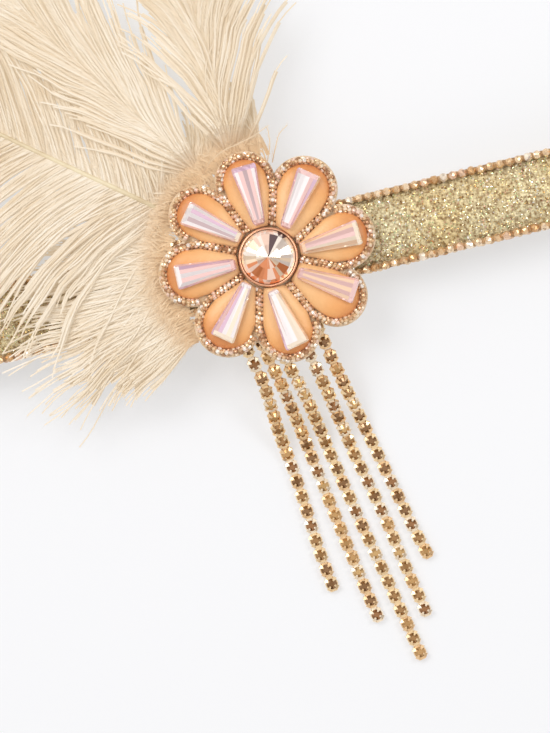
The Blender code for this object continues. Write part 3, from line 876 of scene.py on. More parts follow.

# %% [markdown]
# ## Padded satin petals
# Each petal is a little cushion of peach satin. It is crowned: steep at its rim, nearly flat
# on top where the stone is glued. Rings of points shrink from the outline towards a spine
# inside the petal, and each ring is lifted along a pillow's curve. The satin is darkened
# towards the petals' outer ends with painted shade, where the bead cord shades it.

# %% Petal pads
pad_low = node_box("petal_pad_1")[0]
PILLOW = ((0.0, 0.0), (0.0, 0.5), (0.03, 0.95), (0.10, 1.4), (0.22, 1.8), (0.4, 2.08),
          (0.62, 2.22), (0.82, 2.28), (0.97, 2.3))
PAD_ARC_STEPS = 22
PAD_NECK = -0.026
satin = new_finish("peach_satin", (0.98, 0.82, 0.60), 0.42, Sheen_Weight=0.25,
                   Coat_Weight=0.15, Coat_Roughness=0.3)


def shade_satin_by_reach(material):
    """Darken the satin with painted shade, deeper from the flower's middle to the petals' outer
    ends.
    """
    tree = material.node_tree
    place = add_node(tree, "ShaderNodeTexCoord")
    cloud = add_node(tree, "ShaderNodeTexNoise", Vector=place.outputs["Object"], Scale=160.0,
                     Detail=2.0)
    sway = add_node(tree, "ShaderNodeMath", {"operation": "MULTIPLY_ADD"})
    for socket, value in zip(sway.inputs, (cloud.outputs["Fac"], 0.008, reach_from_axis(tree))):
        feed(tree, socket, value)
    scale = add_node(tree, "ShaderNodeMapRange", Value=sway.outputs["Value"], From_Min=0.008,
                     From_Max=0.033)
    ramp = add_node(tree, "ShaderNodeValToRGB", Fac=scale.outputs["Result"])
    # The darker oranges towards the outer ends are painted shade, where the bead cord shades the
    # satin.
    fill_ramp(ramp, ((0.0, (0.95, 0.78, 0.58)), (0.45, (0.95, 0.75, 0.52)),
                     (0.74, (0.92, 0.66, 0.40)), (1.0, (0.80, 0.47, 0.24))))
    paint(material, ramp.outputs["Color"])


shade_satin_by_reach(satin)
add_grain(satin, 1500.0, 0.12)


def pad_outline(petal):
    """Return one pad's outline: neck, side, round end, side, neck."""
    ring = []
    for i in range(7):
        fraction = mix(PAD_NECK, 0.86, i / 6)
        ring.append(beside_valley(petal["valley"], fraction, PAD_CLEARANCE, 1))
    ring += lobe_arc(petal, petal["lobe_r"] - PAD_CLEARANCE, 90.0, PAD_ARC_STEPS, 0.0)
    for i in range(7):
        fraction = mix(0.86, PAD_NECK, i / 6)
        ring.append(beside_valley(petal["next_valley"], fraction, PAD_CLEARANCE, -1))
    return ring


def pad_verts(petal, foot_z):
    """Return the rings of a crowned pad above its outline."""
    outline = pad_outline(petal)
    neck = (outline[0] + outline[-1]) / 2
    far = polar(petal["lobe_centre"], petal["axis"])
    spine = far - neck
    verts = []
    for shrink, rise in PILLOW:
        for p in outline:
            t = min(max((p - neck).dot(spine) / spine.length_squared, 0.06), 1.0)
            q = mix(p, neck + spine * t, shrink)
            verts.append(Vector((q.x, q.y, foot_z + rise)))
    return verts


for k, petal in enumerate(petals):
    verts = pad_verts(petal, pad_low.z)
    pad = mesh_piece(f"satin_pad_{k + 1}", verts,
                     rings_to_faces(len(PILLOW), len(verts) // len(PILLOW)), [satin])
    settle(pad, "peach_satin", f"petal_pad_{k + 1}")
print("satin pads:", len(petals))

# %% [markdown]
# ## Beads round the petals
# A cord of small beads runs up each valley and round each petal's end. It is really three
# strings laid together, so three staggered rows are threaded by the same tree as the edge
# beads: one on each side of the core thread and one on top.

# %% Petal bead strings
SMALL_BEAD = 1.24
SMALL_PITCH = 1.2
SMALL_SIDES = 8
# Each row: sideways shift, rise over the middle, share of the pitch it starts at.
BEAD_ROWS = ((-0.52, -0.2, 0.0), (0.52, -0.2, 0.5), (0.0, 0.42, 0.25))
trim_low, trim_high = node_box("petal_trim_1")
trim_z = (trim_low.z + trim_high.z) / 2
trim_finish = new_finish("petal_bead", (0.88, 0.70, 0.54), 0.28, 0.6)
add_shades(trim_finish, (
    (0.0, (0.95, 0.82, 0.66)), (0.28, (0.88, 0.72, 0.57)), (0.5, (0.99, 0.91, 0.80)),
    (0.66, (0.72, 0.55, 0.42)), (0.76, (0.96, 0.84, 0.76)), (0.9, (1.0, 0.97, 0.93))))


def beside_path(points, shift, rise, start):
    """Return a path moved sideways and up, and begun a little later."""
    moved = []
    for i, p in enumerate(points):
        ahead = (points[min(i + 1, len(points) - 1)] - points[max(i - 1, 0)]).normalized()
        moved.append(p + Vector((-ahead.y, ahead.x, 0.0)) * shift + Vector((0.0, 0.0, rise)))
    moved[0] += (moved[1] - moved[0]).normalized() * start
    return moved


trim_template = turned_shape("petal_bead", bead_profile(SMALL_BEAD), SMALL_SIDES, trim_finish)
for k, petal in enumerate(petals):
    inner, fork = petal["valley"]
    lift = Vector((0.0, 0.0, trim_z))
    points = [inner + lift, fork + lift] + lobe_arc(petal, petal["lobe_r"], 90.0, 20, trim_z)
    thread = thread_under(f"petal_thread_{k + 1}", points, 0.62)
    settle(thread, "champagne_beads")
    rows = [beside_path(points, shift, rise, start * SMALL_PITCH)
            for shift, rise, start in BEAD_ROWS]
    beads = grow(f"petal_beads_{k + 1}", path_object("petal_path", rows), string_tree, {
        "Spacing": SMALL_PITCH * MM, "Tilt": 0.9, "Size Change": 0.14, "Wander": 0.14 * MM,
        "Seed": 40 + k,
        "Copied": trim_template, "Finish": trim_finish})
    settle(beads, "champagne_beads", f"petal_trim_{k + 1}")
put_away(trim_template)
faces_a_bead = SMALL_SIDES * 3 + 2
print("beads on the last petal:", len(beads.data.polygons) // faces_a_bead)

# %% [markdown]
# ## Cut glass
# The long stones are tapered step cuts and the round one is pointed with facets all round.
# Such stones have a foiled back with an iridescent coat, so from above nearly every facet
# shows a mirrored patch of white, pink, lilac or apricot. Each facet stores its own painted
# reflection, a shade between 0 and 1, which the finish turns into a colour under a clear coat.

# %% Foiled glass with painted facet reflections
FACET_REFLECTIONS = {"white": 0.08, "pink": 0.25, "lilac": 0.42, "apricot": 0.58, "grey": 0.75,
                "cream": 0.92}
long_glass = new_finish("long_stone_glass", (0.98, 0.9, 0.9), 0.1, 0.3, Coat_Weight=1.0,
                        Coat_Roughness=0.02, IOR=1.6)
# Each facet's shade becomes a painted reflection: white, pink, lilac, apricot, grey or cream.
add_shades(long_glass, (
    (0.0, (1.0, 0.97, 0.97)), (0.16, (0.97, 0.81, 0.79)), (0.33, (0.90, 0.76, 0.84)),
    (0.5, (0.98, 0.83, 0.70)), (0.66, (0.80, 0.70, 0.71)), (0.83, (1.0, 0.93, 0.84))))
round_glass = new_finish("round_stone_glass", (0.98, 0.86, 0.78), 0.08, 0.5, Coat_Weight=1.0,
                         Coat_Roughness=0.02, IOR=1.6)
# The round stone's painted reflections, among them a dark grey-brown streak.
add_shades(round_glass, (
    (0.0, (1.0, 0.95, 0.90)), (0.16, (0.98, 0.84, 0.76)), (0.33, (0.93, 0.76, 0.70)),
    (0.5, (0.90, 0.55, 0.34)), (0.66, (0.36, 0.26, 0.27)), (0.83, (1.0, 0.90, 0.78))))


def paint_facet_reflections(stone, shades):
    """Store one painted reflection shade for each facet."""
    store = stone.data.attributes.new("shade", "FLOAT", "FACE")
    store.data.foreach_set("value", shades)

print("facet shades:", ", ".join(FACET_REFLECTIONS))

# %% [markdown]
# ## The long stones
# A long stone is a row of cross-sections, narrow near the flower's middle and wide at the
# petal's end. The sections at each end are lower and narrower, which bevels the stone.

# %% Tapered petal stones
STONE_INNER_R = 8.9
STONE_LENGTH = 16.2
STONE_INNER_HALF = 1.55
STONE_OUTER_HALF = 3.45
# Cross-section from one edge to the other: share of the half width, height over the foot.
STONE_SECTION = ((-0.88, 0.0), (-1.0, 1.0), (-0.84, 1.75), (-0.54, 2.5), (-0.2, 2.42),
                 (0.16, 2.5), (0.54, 2.44), (0.84, 1.75), (1.0, 1.0), (0.88, 0.0))
# Sections along the stone: distance from each end, height allowed, width lost to the corner.
STONE_ENDS = ((0.0, 1.0, 0.5), (0.4, 1.75, 0.1), (1.35, 2.7, 0.0))
# Painted reflections on each stone's strips of facets, in order across it.
STONE_REFLECTION_STRIPES = (
    ("apricot", "lilac", "pink", "white", "white", "white", "lilac"),
    ("lilac", "white", "pink", "grey", "pink", "white", "lilac"),
    ("pink", "white", "lilac", "white", "grey", "white", "pink"),
    ("pink", "lilac", "pink", "white", "pink", "white", "lilac"),
    ("lilac", "pink", "lilac", "white", "cream", "white", "cream"),
    ("lilac", "white", "white", "white", "cream", "cream", "apricot"),
    ("pink", "apricot", "pink", "apricot", "pink", "apricot", "pink"),
    ("cream", "apricot", "cream", "pink", "pink", "apricot", "pink"),
)
# The painted reflections on each stone's inner and outer end facets.
STONE_END_REFLECTIONS = (("pink", "pink"), ("pink", "lilac"), ("cream", "white"), ("pink", "white"),
                 ("white", "cream"), ("white", "cream"), ("pink", "pink"),
                 ("apricot", "cream"))

stone_foot = node_box("petal_stone_1")[0].z
stations = list(STONE_ENDS) + [(STONE_LENGTH - u, h, c) for u, h, c in STONE_ENDS[::-1]]
for k, petal in enumerate(petals):
    inner = polar(STONE_INNER_R, petal["stone_inner"])
    outer = polar(STONE_INNER_R + STONE_LENGTH, petal["stone_outer"])
    along = (outer - inner).normalized()
    across = Vector((-along.y, along.x, 0.0))
    verts = []
    for u, allowed, corner in stations:
        half = mix(STONE_INNER_HALF, STONE_OUTER_HALF, u / STONE_LENGTH) - corner
        for share, height in STONE_SECTION:
            reach = min(max(u, 0.4), STONE_LENGTH - 0.4) if height == 0.0 else u
            verts.append(inner + along * reach + across * half * share
                         + Vector((0.0, 0.0, stone_foot + min(height, allowed))))
    size = len(STONE_SECTION)
    faces = rings_to_faces(len(stations), size)
    stripes = STONE_REFLECTION_STRIPES[k]
    shades = []
    for face in faces[:-2]:
        level, strip = divmod(min(face), size)
        at_end = level in (0, 1, 3, 4)
        name = stripes[min(max(strip - 1, 0), 6)] if max(face) % size != size - 1 else "grey"
        corner = STONE_END_REFLECTIONS[k][0 if level < 2 else 1]
        shades.append(FACET_REFLECTIONS[corner if at_end and 2 <= strip <= 6 else name])
    shades += [FACET_REFLECTIONS["pink"]] * 2
    stone = mesh_piece(f"long_stone_{k + 1}", verts, faces, [long_glass], smooth=False)
    paint_facet_reflections(stone, shades)
    settle(stone, "crystal", f"petal_stone_{k + 1}")
print("long stones:", len(petals), "of", STONE_LENGTH, "mm")

# %% [markdown]
# ## The round stone
# The round stone is built from levels of points. Where a level is turned by half a step
# against its neighbour, the faces between them become triangles, as on a cut stone.

# %% Round centre stone
centre_low = node_box("centre_stone")[0]
CENTRE_SIDES = 32
# Radius, height over the stone's foot, and a half-step turn for the kite facets.
CENTRE_LEVELS = ((5.6, 0.0, 0.0), (7.05, 2.7, 0.0), (7.15, 2.95, 0.0), (6.1, 3.62, 0.5),
                 (3.2, 4.85, 0.5), (0.5, 5.66, 0.0), (0.15, 5.7, 0.0))
# Painted reflections round the stone, from the flower's +X side anticlockwise, two facets each.
CENTRE_REFLECTIONS = ("cream", "white", "grey", "pink", "white", "cream", "white", "cream", "pink",
                "apricot", "apricot", "pink", "apricot", "cream", "white", "white")
verts = []
for radius, height, turn in CENTRE_LEVELS:
    verts += [polar(radius, 360.0 * (i + turn) / CENTRE_SIDES, centre_low.z + height)
              for i in range(CENTRE_SIDES)]
faces = []
shades = []
facet_chance = random.Random(5)
for k in range(len(CENTRE_LEVELS) - 1):
    a, b = k * CENTRE_SIDES, (k + 1) * CENTRE_SIDES
    step = CENTRE_LEVELS[k + 1][2] - CENTRE_LEVELS[k][2]
    for i in range(CENTRE_SIDES):
        j = (i + 1) % CENTRE_SIDES
        own = FACET_REFLECTIONS[CENTRE_REFLECTIONS[facet_chance.choice((i, i, i, i + 2, i - 2)) // 2 % 16]]
        near = FACET_REFLECTIONS[CENTRE_REFLECTIONS[facet_chance.choice((i, j, i - 1)) // 2 % 16]]
        if step == 0.0:
            faces.append((a + i, a + j, b + j, b + i))
            shades.append(own)
        elif step > 0.0:
            faces += [(a + i, a + j, b + i), (a + j, b + j, b + i)]
            shades += [own, near]
        else:
            faces += [(a + i, b + j, b + i), (a + i, a + j, b + j)]
            shades += [near, own]
faces.append(tuple(reversed(range(CENTRE_SIDES))))
faces.append(tuple(range(len(verts) - CENTRE_SIDES, len(verts))))
shades += [FACET_REFLECTIONS["pink"], FACET_REFLECTIONS["white"]]
round_stone = mesh_piece("round_stone", verts, faces, [round_glass], smooth=False)
paint_facet_reflections(round_stone, shades)
settle(round_stone, "crystal", "centre_stone")
print("round stone facets:", len(faces))

# %% [markdown]
# ## Bezel
# A thin rose-gold wall holds the round stone. Its lip is rolled in slightly, so it is turned
# from a rounded profile and not left as a plain ring.

# %% Bezel wall
bezel_low, bezel_high = node_box("centre_bezel")
rose_gold = new_finish("rose_gold", (0.94, 0.72, 0.58), 0.32, 0.85)
add_grain(rose_gold, 1400.0, 0.03)
outer_r = bezel_high.x - 0.2
inner_r = outer_r - 0.6
wall = ((outer_r, 0.0), (outer_r, 3.1), (outer_r - 0.12, 3.45), (outer_r - 0.45, 3.6),
        (inner_r + 0.1, 3.5), (inner_r, 3.2), (inner_r, 0.0))
BEZEL_SIDES = 64
bezel_verts = []
for i in range(BEZEL_SIDES):
    bezel_verts += [polar(r, 360.0 * i / BEZEL_SIDES, bezel_low.z + z) for r, z in wall]
bezel_faces = rings_to_faces(BEZEL_SIDES, len(wall), closed=True)
bezel = mesh_piece("bezel", bezel_verts, bezel_faces, [rose_gold])
settle(bezel, "rose_gold", "centre_bezel")
print("bezel", round(2 * outer_r, 1), "mm across")

# %% [markdown]
# ## The fringe of cup chain
# Five strands of cup chain hang from under the petals. Each stone sits in a little gold cup
# with four claws, and the cups are linked by a flat bar. One cup and one stone are modelled
# and then threaded along each strand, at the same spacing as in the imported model.

# %% Cup, claws and stone
CUP_PITCH = 4.13
SURFACE_Z = surface_z / MM
CUP_HEIGHT = 2.2
FRINGE_START_Z = node_box("strand_1")[1].z - CUP_HEIGHT
FRINGE_HIDDEN = 7.0
FRINGE_FALL = 30.0
FRINGE_ROUTES = (
    ((-12.0, -18.5), (-10.9, -24.8), (-9.2, -32.4), (-8.4, -44.9), (-6.6, -61.6),
     (-5.4, -79.1), (-3.9, -92.3)),
    ((-8.4, -17.6), (-6.9, -23.1), (-4.2, -36.7), (-1.6, -53.0), (0.8, -70.1),
     (3.3, -86.9), (6.2, -103.7)),
    ((-4.6, -18.4), (-2.7, -25.2), (1.0, -39.3), (3.9, -56.4), (6.8, -72.7),
     (10.0, -89.3), (14.8, -115.3)),
    ((2.6, -19.5), (4.3, -26.9), (7.0, -39.8), (10.0, -57.2), (13.3, -72.9),
     (16.0, -89.2), (18.5, -102.6)),
    ((7.7, -17.0), (8.6, -22.5), (10.8, -34.3), (14.4, -50.8), (18.0, -67.7),
     (20.6, -79.9), (22.8, -88.3)),
)

cup_gold = new_finish("cup_gold", (0.97, 0.84, 0.62), 0.28, 0.8)
add_shades(cup_gold, ((0.0, (0.99, 0.88, 0.70)), (0.4, (0.97, 0.83, 0.64)),
                      (0.75, (1.0, 0.93, 0.82))))
fringe_glass = new_finish("fringe_glass", (0.46, 0.32, 0.16), 0.08, 0.6, Coat_Weight=1.0,
                          Coat_Roughness=0.03, IOR=1.6)
add_shades(fringe_glass, ((0.0, (0.66, 0.48, 0.26)), (0.3, (0.56, 0.39, 0.20)),
                          (0.55, (0.78, 0.60, 0.36)), (0.75, (0.62, 0.42, 0.22)),
                          (0.9, (0.82, 0.66, 0.42))))


def cup_template():
    """Model one cup with four claws and the half bars that link it to its neighbours."""
    verts = []
    profile = ((1.25, 0.0), (1.5, 0.2), (1.76, 1.3), (1.7, 1.5), (1.45, 1.5), (1.3, 0.8))
    sides = 12
    for radius, height in profile:
        verts += [polar(radius, 360.0 * (i + 0.5) / sides, height) for i in range(sides)]
    faces = rings_to_faces(len(profile), sides)
    claw = ((0.46, 1.8, 0.5), (0.58, 2.08, 1.3), (0.52, 1.92, 2.0), (0.28, 1.2, 2.3))
    for turn in (45.0, 135.0, 225.0, 315.0):
        base = len(verts)
        out = polar(1.0, turn)
        side = polar(1.0, turn + 90.0)
        for half, reach, height in claw:
            for s, depth in ((-1, 0.0), (1, 0.0), (0.7, -0.4), (-0.7, -0.4)):
                verts.append(out * (reach + depth) + side * half * s
                             + Vector((0.0, 0.0, height)))
        faces += [tuple(base + i for i in face) for face in rings_to_faces(len(claw), 4)]
    for end in (1, -1):
        base = len(verts)
        for x in (1.3 * end, CUP_PITCH / 2 * end):
            for y, z in ((-1.0, 0.6), (1.0, 0.6), (0.7, 1.4), (-0.7, 1.4)):
                verts.append(Vector((x, y, z)))
        faces += [tuple(base + i for i in face) for face in rings_to_faces(2, 4)]
    return mesh_piece("cup", verts, faces, [cup_gold], smooth=False)


def chaton_template():
    """Model one small round stone: flat table, eight-sided crown, girdle."""
    profile = ((1.1, 0.85), (1.5, 1.45), (1.46, 1.62), (0.66, 2.2), (0.1, 2.2))
    return turned_shape("chaton", profile, 8, fringe_glass)


def fringe_path(route):
    """Return the cup positions along one strand, from under the petals to the table."""
    plan = smooth_route([Vector((x, y, 0.0)) for x, y in route], 0.5)
    path = []
    for i, p in enumerate(plan):
        fall = smoothstep(FRINGE_HIDDEN, FRINGE_HIDDEN + FRINGE_FALL, i * 0.5)
        path.append(Vector((p.x, p.y, mix(FRINGE_START_Z, SURFACE_Z, fall))))
    return smooth_route(path, CUP_PITCH)

print("cups every", CUP_PITCH, "mm")

# %% [markdown]
# ## Threading the strands
# The route of each strand is read from the picture and falls from under the petals to the
# table. The beads' tree now threads the cups and then the stones, at one pitch.

# %% Thread the five strands
cup = cup_template()
chaton = chaton_template()
for k, route in enumerate(FRINGE_ROUTES):
    spots = fringe_path(route)
    for template, label, finish in ((cup, "cups", cup_gold), (chaton, "stones", fringe_glass)):
        strand = grow(f"strand_{label}_{k + 1}", path_object("strand_path", [spots]),
                      string_tree, {"Spacing": CUP_PITCH * MM * 0.998, "Tilt": 0.04,
                                    "Size Change": 0.0, "Seed": 60 + k, "Copied": template,
                                    "Finish": finish})
        settle(strand, "gold_cup_chain")
        if label == "cups":
            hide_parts(f"strand_{k + 1}")
    print("strand", k + 1, "has", len(spots), "cups")
put_away(cup)
put_away(chaton)

# %% [markdown]
# ## Ostrich feathers
# An ostrich feather has a tapering quill with long soft barbs on both sides, and each barb is
# fringed with barbules, which give the fluff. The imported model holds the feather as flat
# locks. Here each lock becomes a clump of single barbs that start apart on the quill and draw
# together at the tip, as damp or handled barbs do.

# %% The plume's plan
QUILL_SEAT_Z = 3.2
OVER_BAND_Z = 4.9
PLUME_LAYER = 2.1
PLUME_LOW_Z = SURFACE_Z + 0.6 - PLUME_LAYER
PLUME_FALL = (34.0, 115.0)
OVER_BAND_Y = (15.0, 42.0)
LEAVES_BACKING = (30.0, 38.0)
LOCK_SHORTEST = 0.45
LOCK_SWELL = (0.18, 0.93)
TIP_CLOSING = 0.4
RUFF_LEAN = 16.0
COLLAR_SHARE = 0.5
UNDER_FELT_Z = 3.7
FELT_REACH = 29.6
QUILL_SINK = 0.5
UNDER_DROP = 0.8
UNDER_STEPS = 11
LOWEST_BARB = 0.8
LOWEST_UNDER = 0.4
# How far chance moves a lock or a barb: curl in degrees, rise in mm, length as a share.
LOCK_CURL = 9.0
LOCK_RISE = (-0.5, 0.7)
OWN_CURL = 8.0
OWN_RISE = (-0.5, 0.6)
OWN_LENGTH = (0.6, 1.06)
# Noise that lets neighbours sway together: its pace over the plan, broad and fine.
BROAD_PACE = 0.03
FINE_PACE = 0.11
FINE_SWAY = 1.2
FEATHER_COLUMNS = (
    "root_r", "root_angle", "heading", "bend", "length", "width", "layer",
    "first_lock", "last_lock", "pitch",
    "left_angle", "left_curl", "left_length", "right_angle", "right_curl", "right_length",
    "barb_step", "clump", "sway", "angle_change", "first_barb", "end_share",
    "tuck_least", "tuck_most",
)
FEATHERS = {
    "feather_main": (20.5, 142.5, 142.0, -5.0, 168.0, 1.6, 1,
                     12.0, 156.5, 9.0, 54.0, 38.0, 66.0, 58.0, -32.0, 50.0,
                     0.46, 0.3, 3.5, 3.0, 5.0, 1.0, 0.0, 0.0),
    "feather_middle": (21.0, 112.4, 123.5, 4.0, 160.0, 1.3, 2,
                       17.0, 150.0, 12.0, 8.0, 20.0, 48.0, 10.0, 24.0, 60.0,
                       0.52, 0.6, 5.0, 4.0, 5.0, 1.0, 2.0, 5.0),
    "feather_upper": (21.0, 99.0, 92.0, -8.0, 132.0, 1.3, 3,
                      16.0, 124.5, 12.0, 11.0, 26.0, 56.0, 14.0, 34.0, 60.0,
                      0.48, 0.6, 6.0, 5.0, 3.0, 1.0, 2.0, 5.0),
    "down_ruff": (31.9, 163.0, 253.0, 62.0, 34.5, 1.5, 0,
                  0.8, 29.0, 4.6, 0.0, 0.0, 0.0, 88.0, -16.0, 44.0,
                  0.13, 0.5, 8.0, 12.0, -46.0, 0.42, 2.5, 8.0),
}


def plume_height(point, layer):
    """Return the height of a feather's middle: over the band, then down to the table."""
    reach = point.to_2d().length
    low = mix(QUILL_SEAT_Z, PLUME_LOW_Z, smoothstep(*PLUME_FALL, reach))
    over_band = 1.0 - smoothstep(*OVER_BAND_Y, abs(point.y))
    height = mix(low, max(low, OVER_BAND_Z), over_band) + layer * PLUME_LAYER
    freed = smoothstep(*LEAVES_BACKING, reach) if layer else 1.0
    return mix(QUILL_SEAT_Z, height, freed)


def lock_profile(along):
    """Return how long the barbs are at this fraction of the quill."""
    along = min(max(along, 0.0), 1.0)
    return mix(LOCK_SHORTEST, 1.0, math.sin(math.pi * mix(*LOCK_SWELL, along)))


def quill_point(feather, distance):
    """Return the point and the heading at this distance along a quill."""
    root = polar(feather["root_r"], feather["root_angle"])
    return arc_walk(root, feather["heading"], feather["bend"], feather["length"], distance)


def barb_plan(feather, side, distance, fraction, curl_change=0.0, angle_change=0.0):
    """Return the point at this fraction of a barb that leaves the quill at a distance."""
    sign = 1 if side == "left" else -1
    along = min(max(distance / feather["length"], 0.0), 1.0)
    centre, bearing = quill_point(feather, distance)
    opening = feather[side + "_angle"]
    if feather["layer"]:
        opening *= mix(1.0, TIP_CLOSING, along ** 2)
    else:
        opening += RUFF_LEAN * smoothstep(0.3, 1.0, along)
    opening += angle_change
    length = feather[side + "_length"] * lock_profile(along)
    turn = sign * (feather[side + "_curl"] + curl_change)
    spot, _ = arc_walk(centre, bearing + sign * opening, turn, length, length * fraction)
    return spot

print("feathers:", ", ".join(FEATHERS))

# %% [markdown]
# ## One barb and its fringe
# This tree gives each barb a thin flat shaft and sets barbules along both of its sides. The
# barbules get smaller towards the barb's tip.

# %% Barb and barbule tree
BARB_STEPS = 12
BARBULE_ROLL = 0.4


def build_barb_tree():
    """Build the tree that thickens each barb and fringes it with barbules."""
    tree, entry, leave = node_tree("fringe each barb", [
        ("Barb Width", "NodeSocketFloat", 0.0002), ("Flatness", "NodeSocketFloat", 1.0),
        ("Barbule Spacing", "NodeSocketFloat", 0.001),
        ("Seed", "NodeSocketInt", 1), ("Barbule", "NodeSocketObject", None),
        ("Finish", "NodeSocketMaterial", None)])
    seed = entry.outputs["Seed"]
    tone = add_node(tree, "GeometryNodeStoreNamedAttribute",
                    {"data_type": "FLOAT", "domain": "CURVE"}, Name="shade",
                    Geometry=entry.outputs["Geometry"],
                    Value=random_between(tree, 0.0, 1.0, seed))
    ring = add_node(tree, "GeometryNodeCurvePrimitiveCircle", Resolution=3,
                    Radius=entry.outputs["Barb Width"])
    flat = add_node(tree, "GeometryNodeTransform", Geometry=ring.outputs["Curve"],
                    Scale=combine(tree, 1.0, entry.outputs["Flatness"], 1.0))
    shaft = add_node(tree, "GeometryNodeCurveToMesh", Fill_Caps=True,
                     Curve=tone.outputs["Geometry"], Profile_Curve=flat.outputs["Geometry"])
    space = add_node(tree, "GeometryNodeResampleCurve", {"mode": "LENGTH"},
                     Curve=tone.outputs["Geometry"], Length=entry.outputs["Barbule Spacing"])
    spin = random_between(tree, -1.0, 1.0, seed)
    roll = calculate(tree, "MULTIPLY_ADD", calculate(tree, "LESS_THAN", spin, 0.0), math.pi,
                     scaled(tree, spin, BARBULE_ROLL))
    lean = combine(tree, roll, scaled(tree, spin, 0.2), scaled(tree, spin, -0.2))
    along = add_node(tree, "GeometryNodeSplineParameter")
    swell = add_node(tree, "ShaderNodeMapRange", Value=along.outputs["Factor"], To_Min=1.05,
                     To_Max=0.55)
    size = calculate(tree, "MULTIPLY", swell.outputs["Result"],
                     random_between(tree, 0.5, 1.2, seed))
    copies = copies_on(tree, space.outputs["Curve"], entry.outputs["Barbule"],
                       turned(tree, facing_along(tree), lean), size, None)
    join = add_node(tree, "GeometryNodeJoinGeometry")
    feed(tree, join.inputs["Geometry"], shaft.outputs["Mesh"])
    feed(tree, join.inputs["Geometry"], copies)
    finish_tree(tree, join.outputs["Geometry"], entry.outputs["Finish"], leave)
    return tree


def barbule_template(name, reach, width, material):
    """Model one barbule: a thin needle that points forward and out."""
    tip = Vector((reach * 0.88, reach * 0.46, 0.0))
    verts = [Vector((-width / 2, 0.0, 0.0)), Vector((width / 2, 0.0, 0.0)),
             Vector((0.0, 0.0, width * 0.7)), tip]
    return mesh_piece(name, verts, [(0, 1, 3), (1, 2, 3), (2, 0, 3), (0, 2, 1)], [material],
                      smooth=False)


def barb_curves(name, barbs, tip=0.25):
    """Make one curve object of all the barbs, thinner towards their tips."""
    path = path_object(name, barbs)
    path.data.twist_mode = "Z_UP"
    for spline, points in zip(path.data.splines, barbs):
        last = len(points) - 1
        spline.points.foreach_set("radius", [mix(1.0, tip, (i / last) ** 1.5)
                                             for i in range(last + 1)])
    return path


barb_tree = build_barb_tree()
print("nodes in the barb tree:", len(barb_tree.nodes))

# %% [markdown]
# ## Growing the feathers
# We walk along each quill and start a barb about every half millimetre, and closer in the
# ruff. Chance bends each barb a little, and noise lets its neighbours sway with it. A lower
# layer of broader and slightly shorter barbs, the under-down, helps to hide the table.

# %% Grow the feathers
# The barbs glow faintly: painted light that lifts the shade between them.
feather_cream = new_finish("feather_barb", (0.95, 0.90, 0.80), 0.8, Sheen_Weight=0.3,
                           Emission_Color=linear((0.95, 0.89, 0.78)), Emission_Strength=0.16)
add_shades(feather_cream, ((0.0, (0.81, 0.735, 0.62)), (0.25, (0.84, 0.78, 0.69)),
                           (0.6, (0.865, 0.82, 0.75)), (1.0, (0.89, 0.86, 0.81))),
           blend="LINEAR", patch_scale=60.0)


def paint_root_shade(material, tint, tint_r, clear_r):
    """Darken a finish near the flower with painted shade, where the barbs are crowded."""
    tree = material.node_tree
    fade = add_node(tree, "ShaderNodeMapRange", {"interpolation_type": "SMOOTHSTEP"},
                    Value=reach_from_axis(tree), From_Min=tint_r * MM, From_Max=clear_r * MM)
    multiply_by_mask(material, fade.outputs["Result"], tint)


# Painted shade near the flower, among the crowded barb roots.
paint_root_shade(feather_cream, (0.96, 0.87, 0.75), 28.0, 38.0)
quill_finish = new_finish("feather_quill", (0.84, 0.76, 0.62), 0.45)
add_drift(quill_finish, 120.0, (0.90, 0.85, 0.72), (0.82, 0.74, 0.60))

# Blender's noise starts from the clock unless it is given a seed.
NOISE_SEED = 5
noise.seed_set(NOISE_SEED)
chance = random.Random(11)

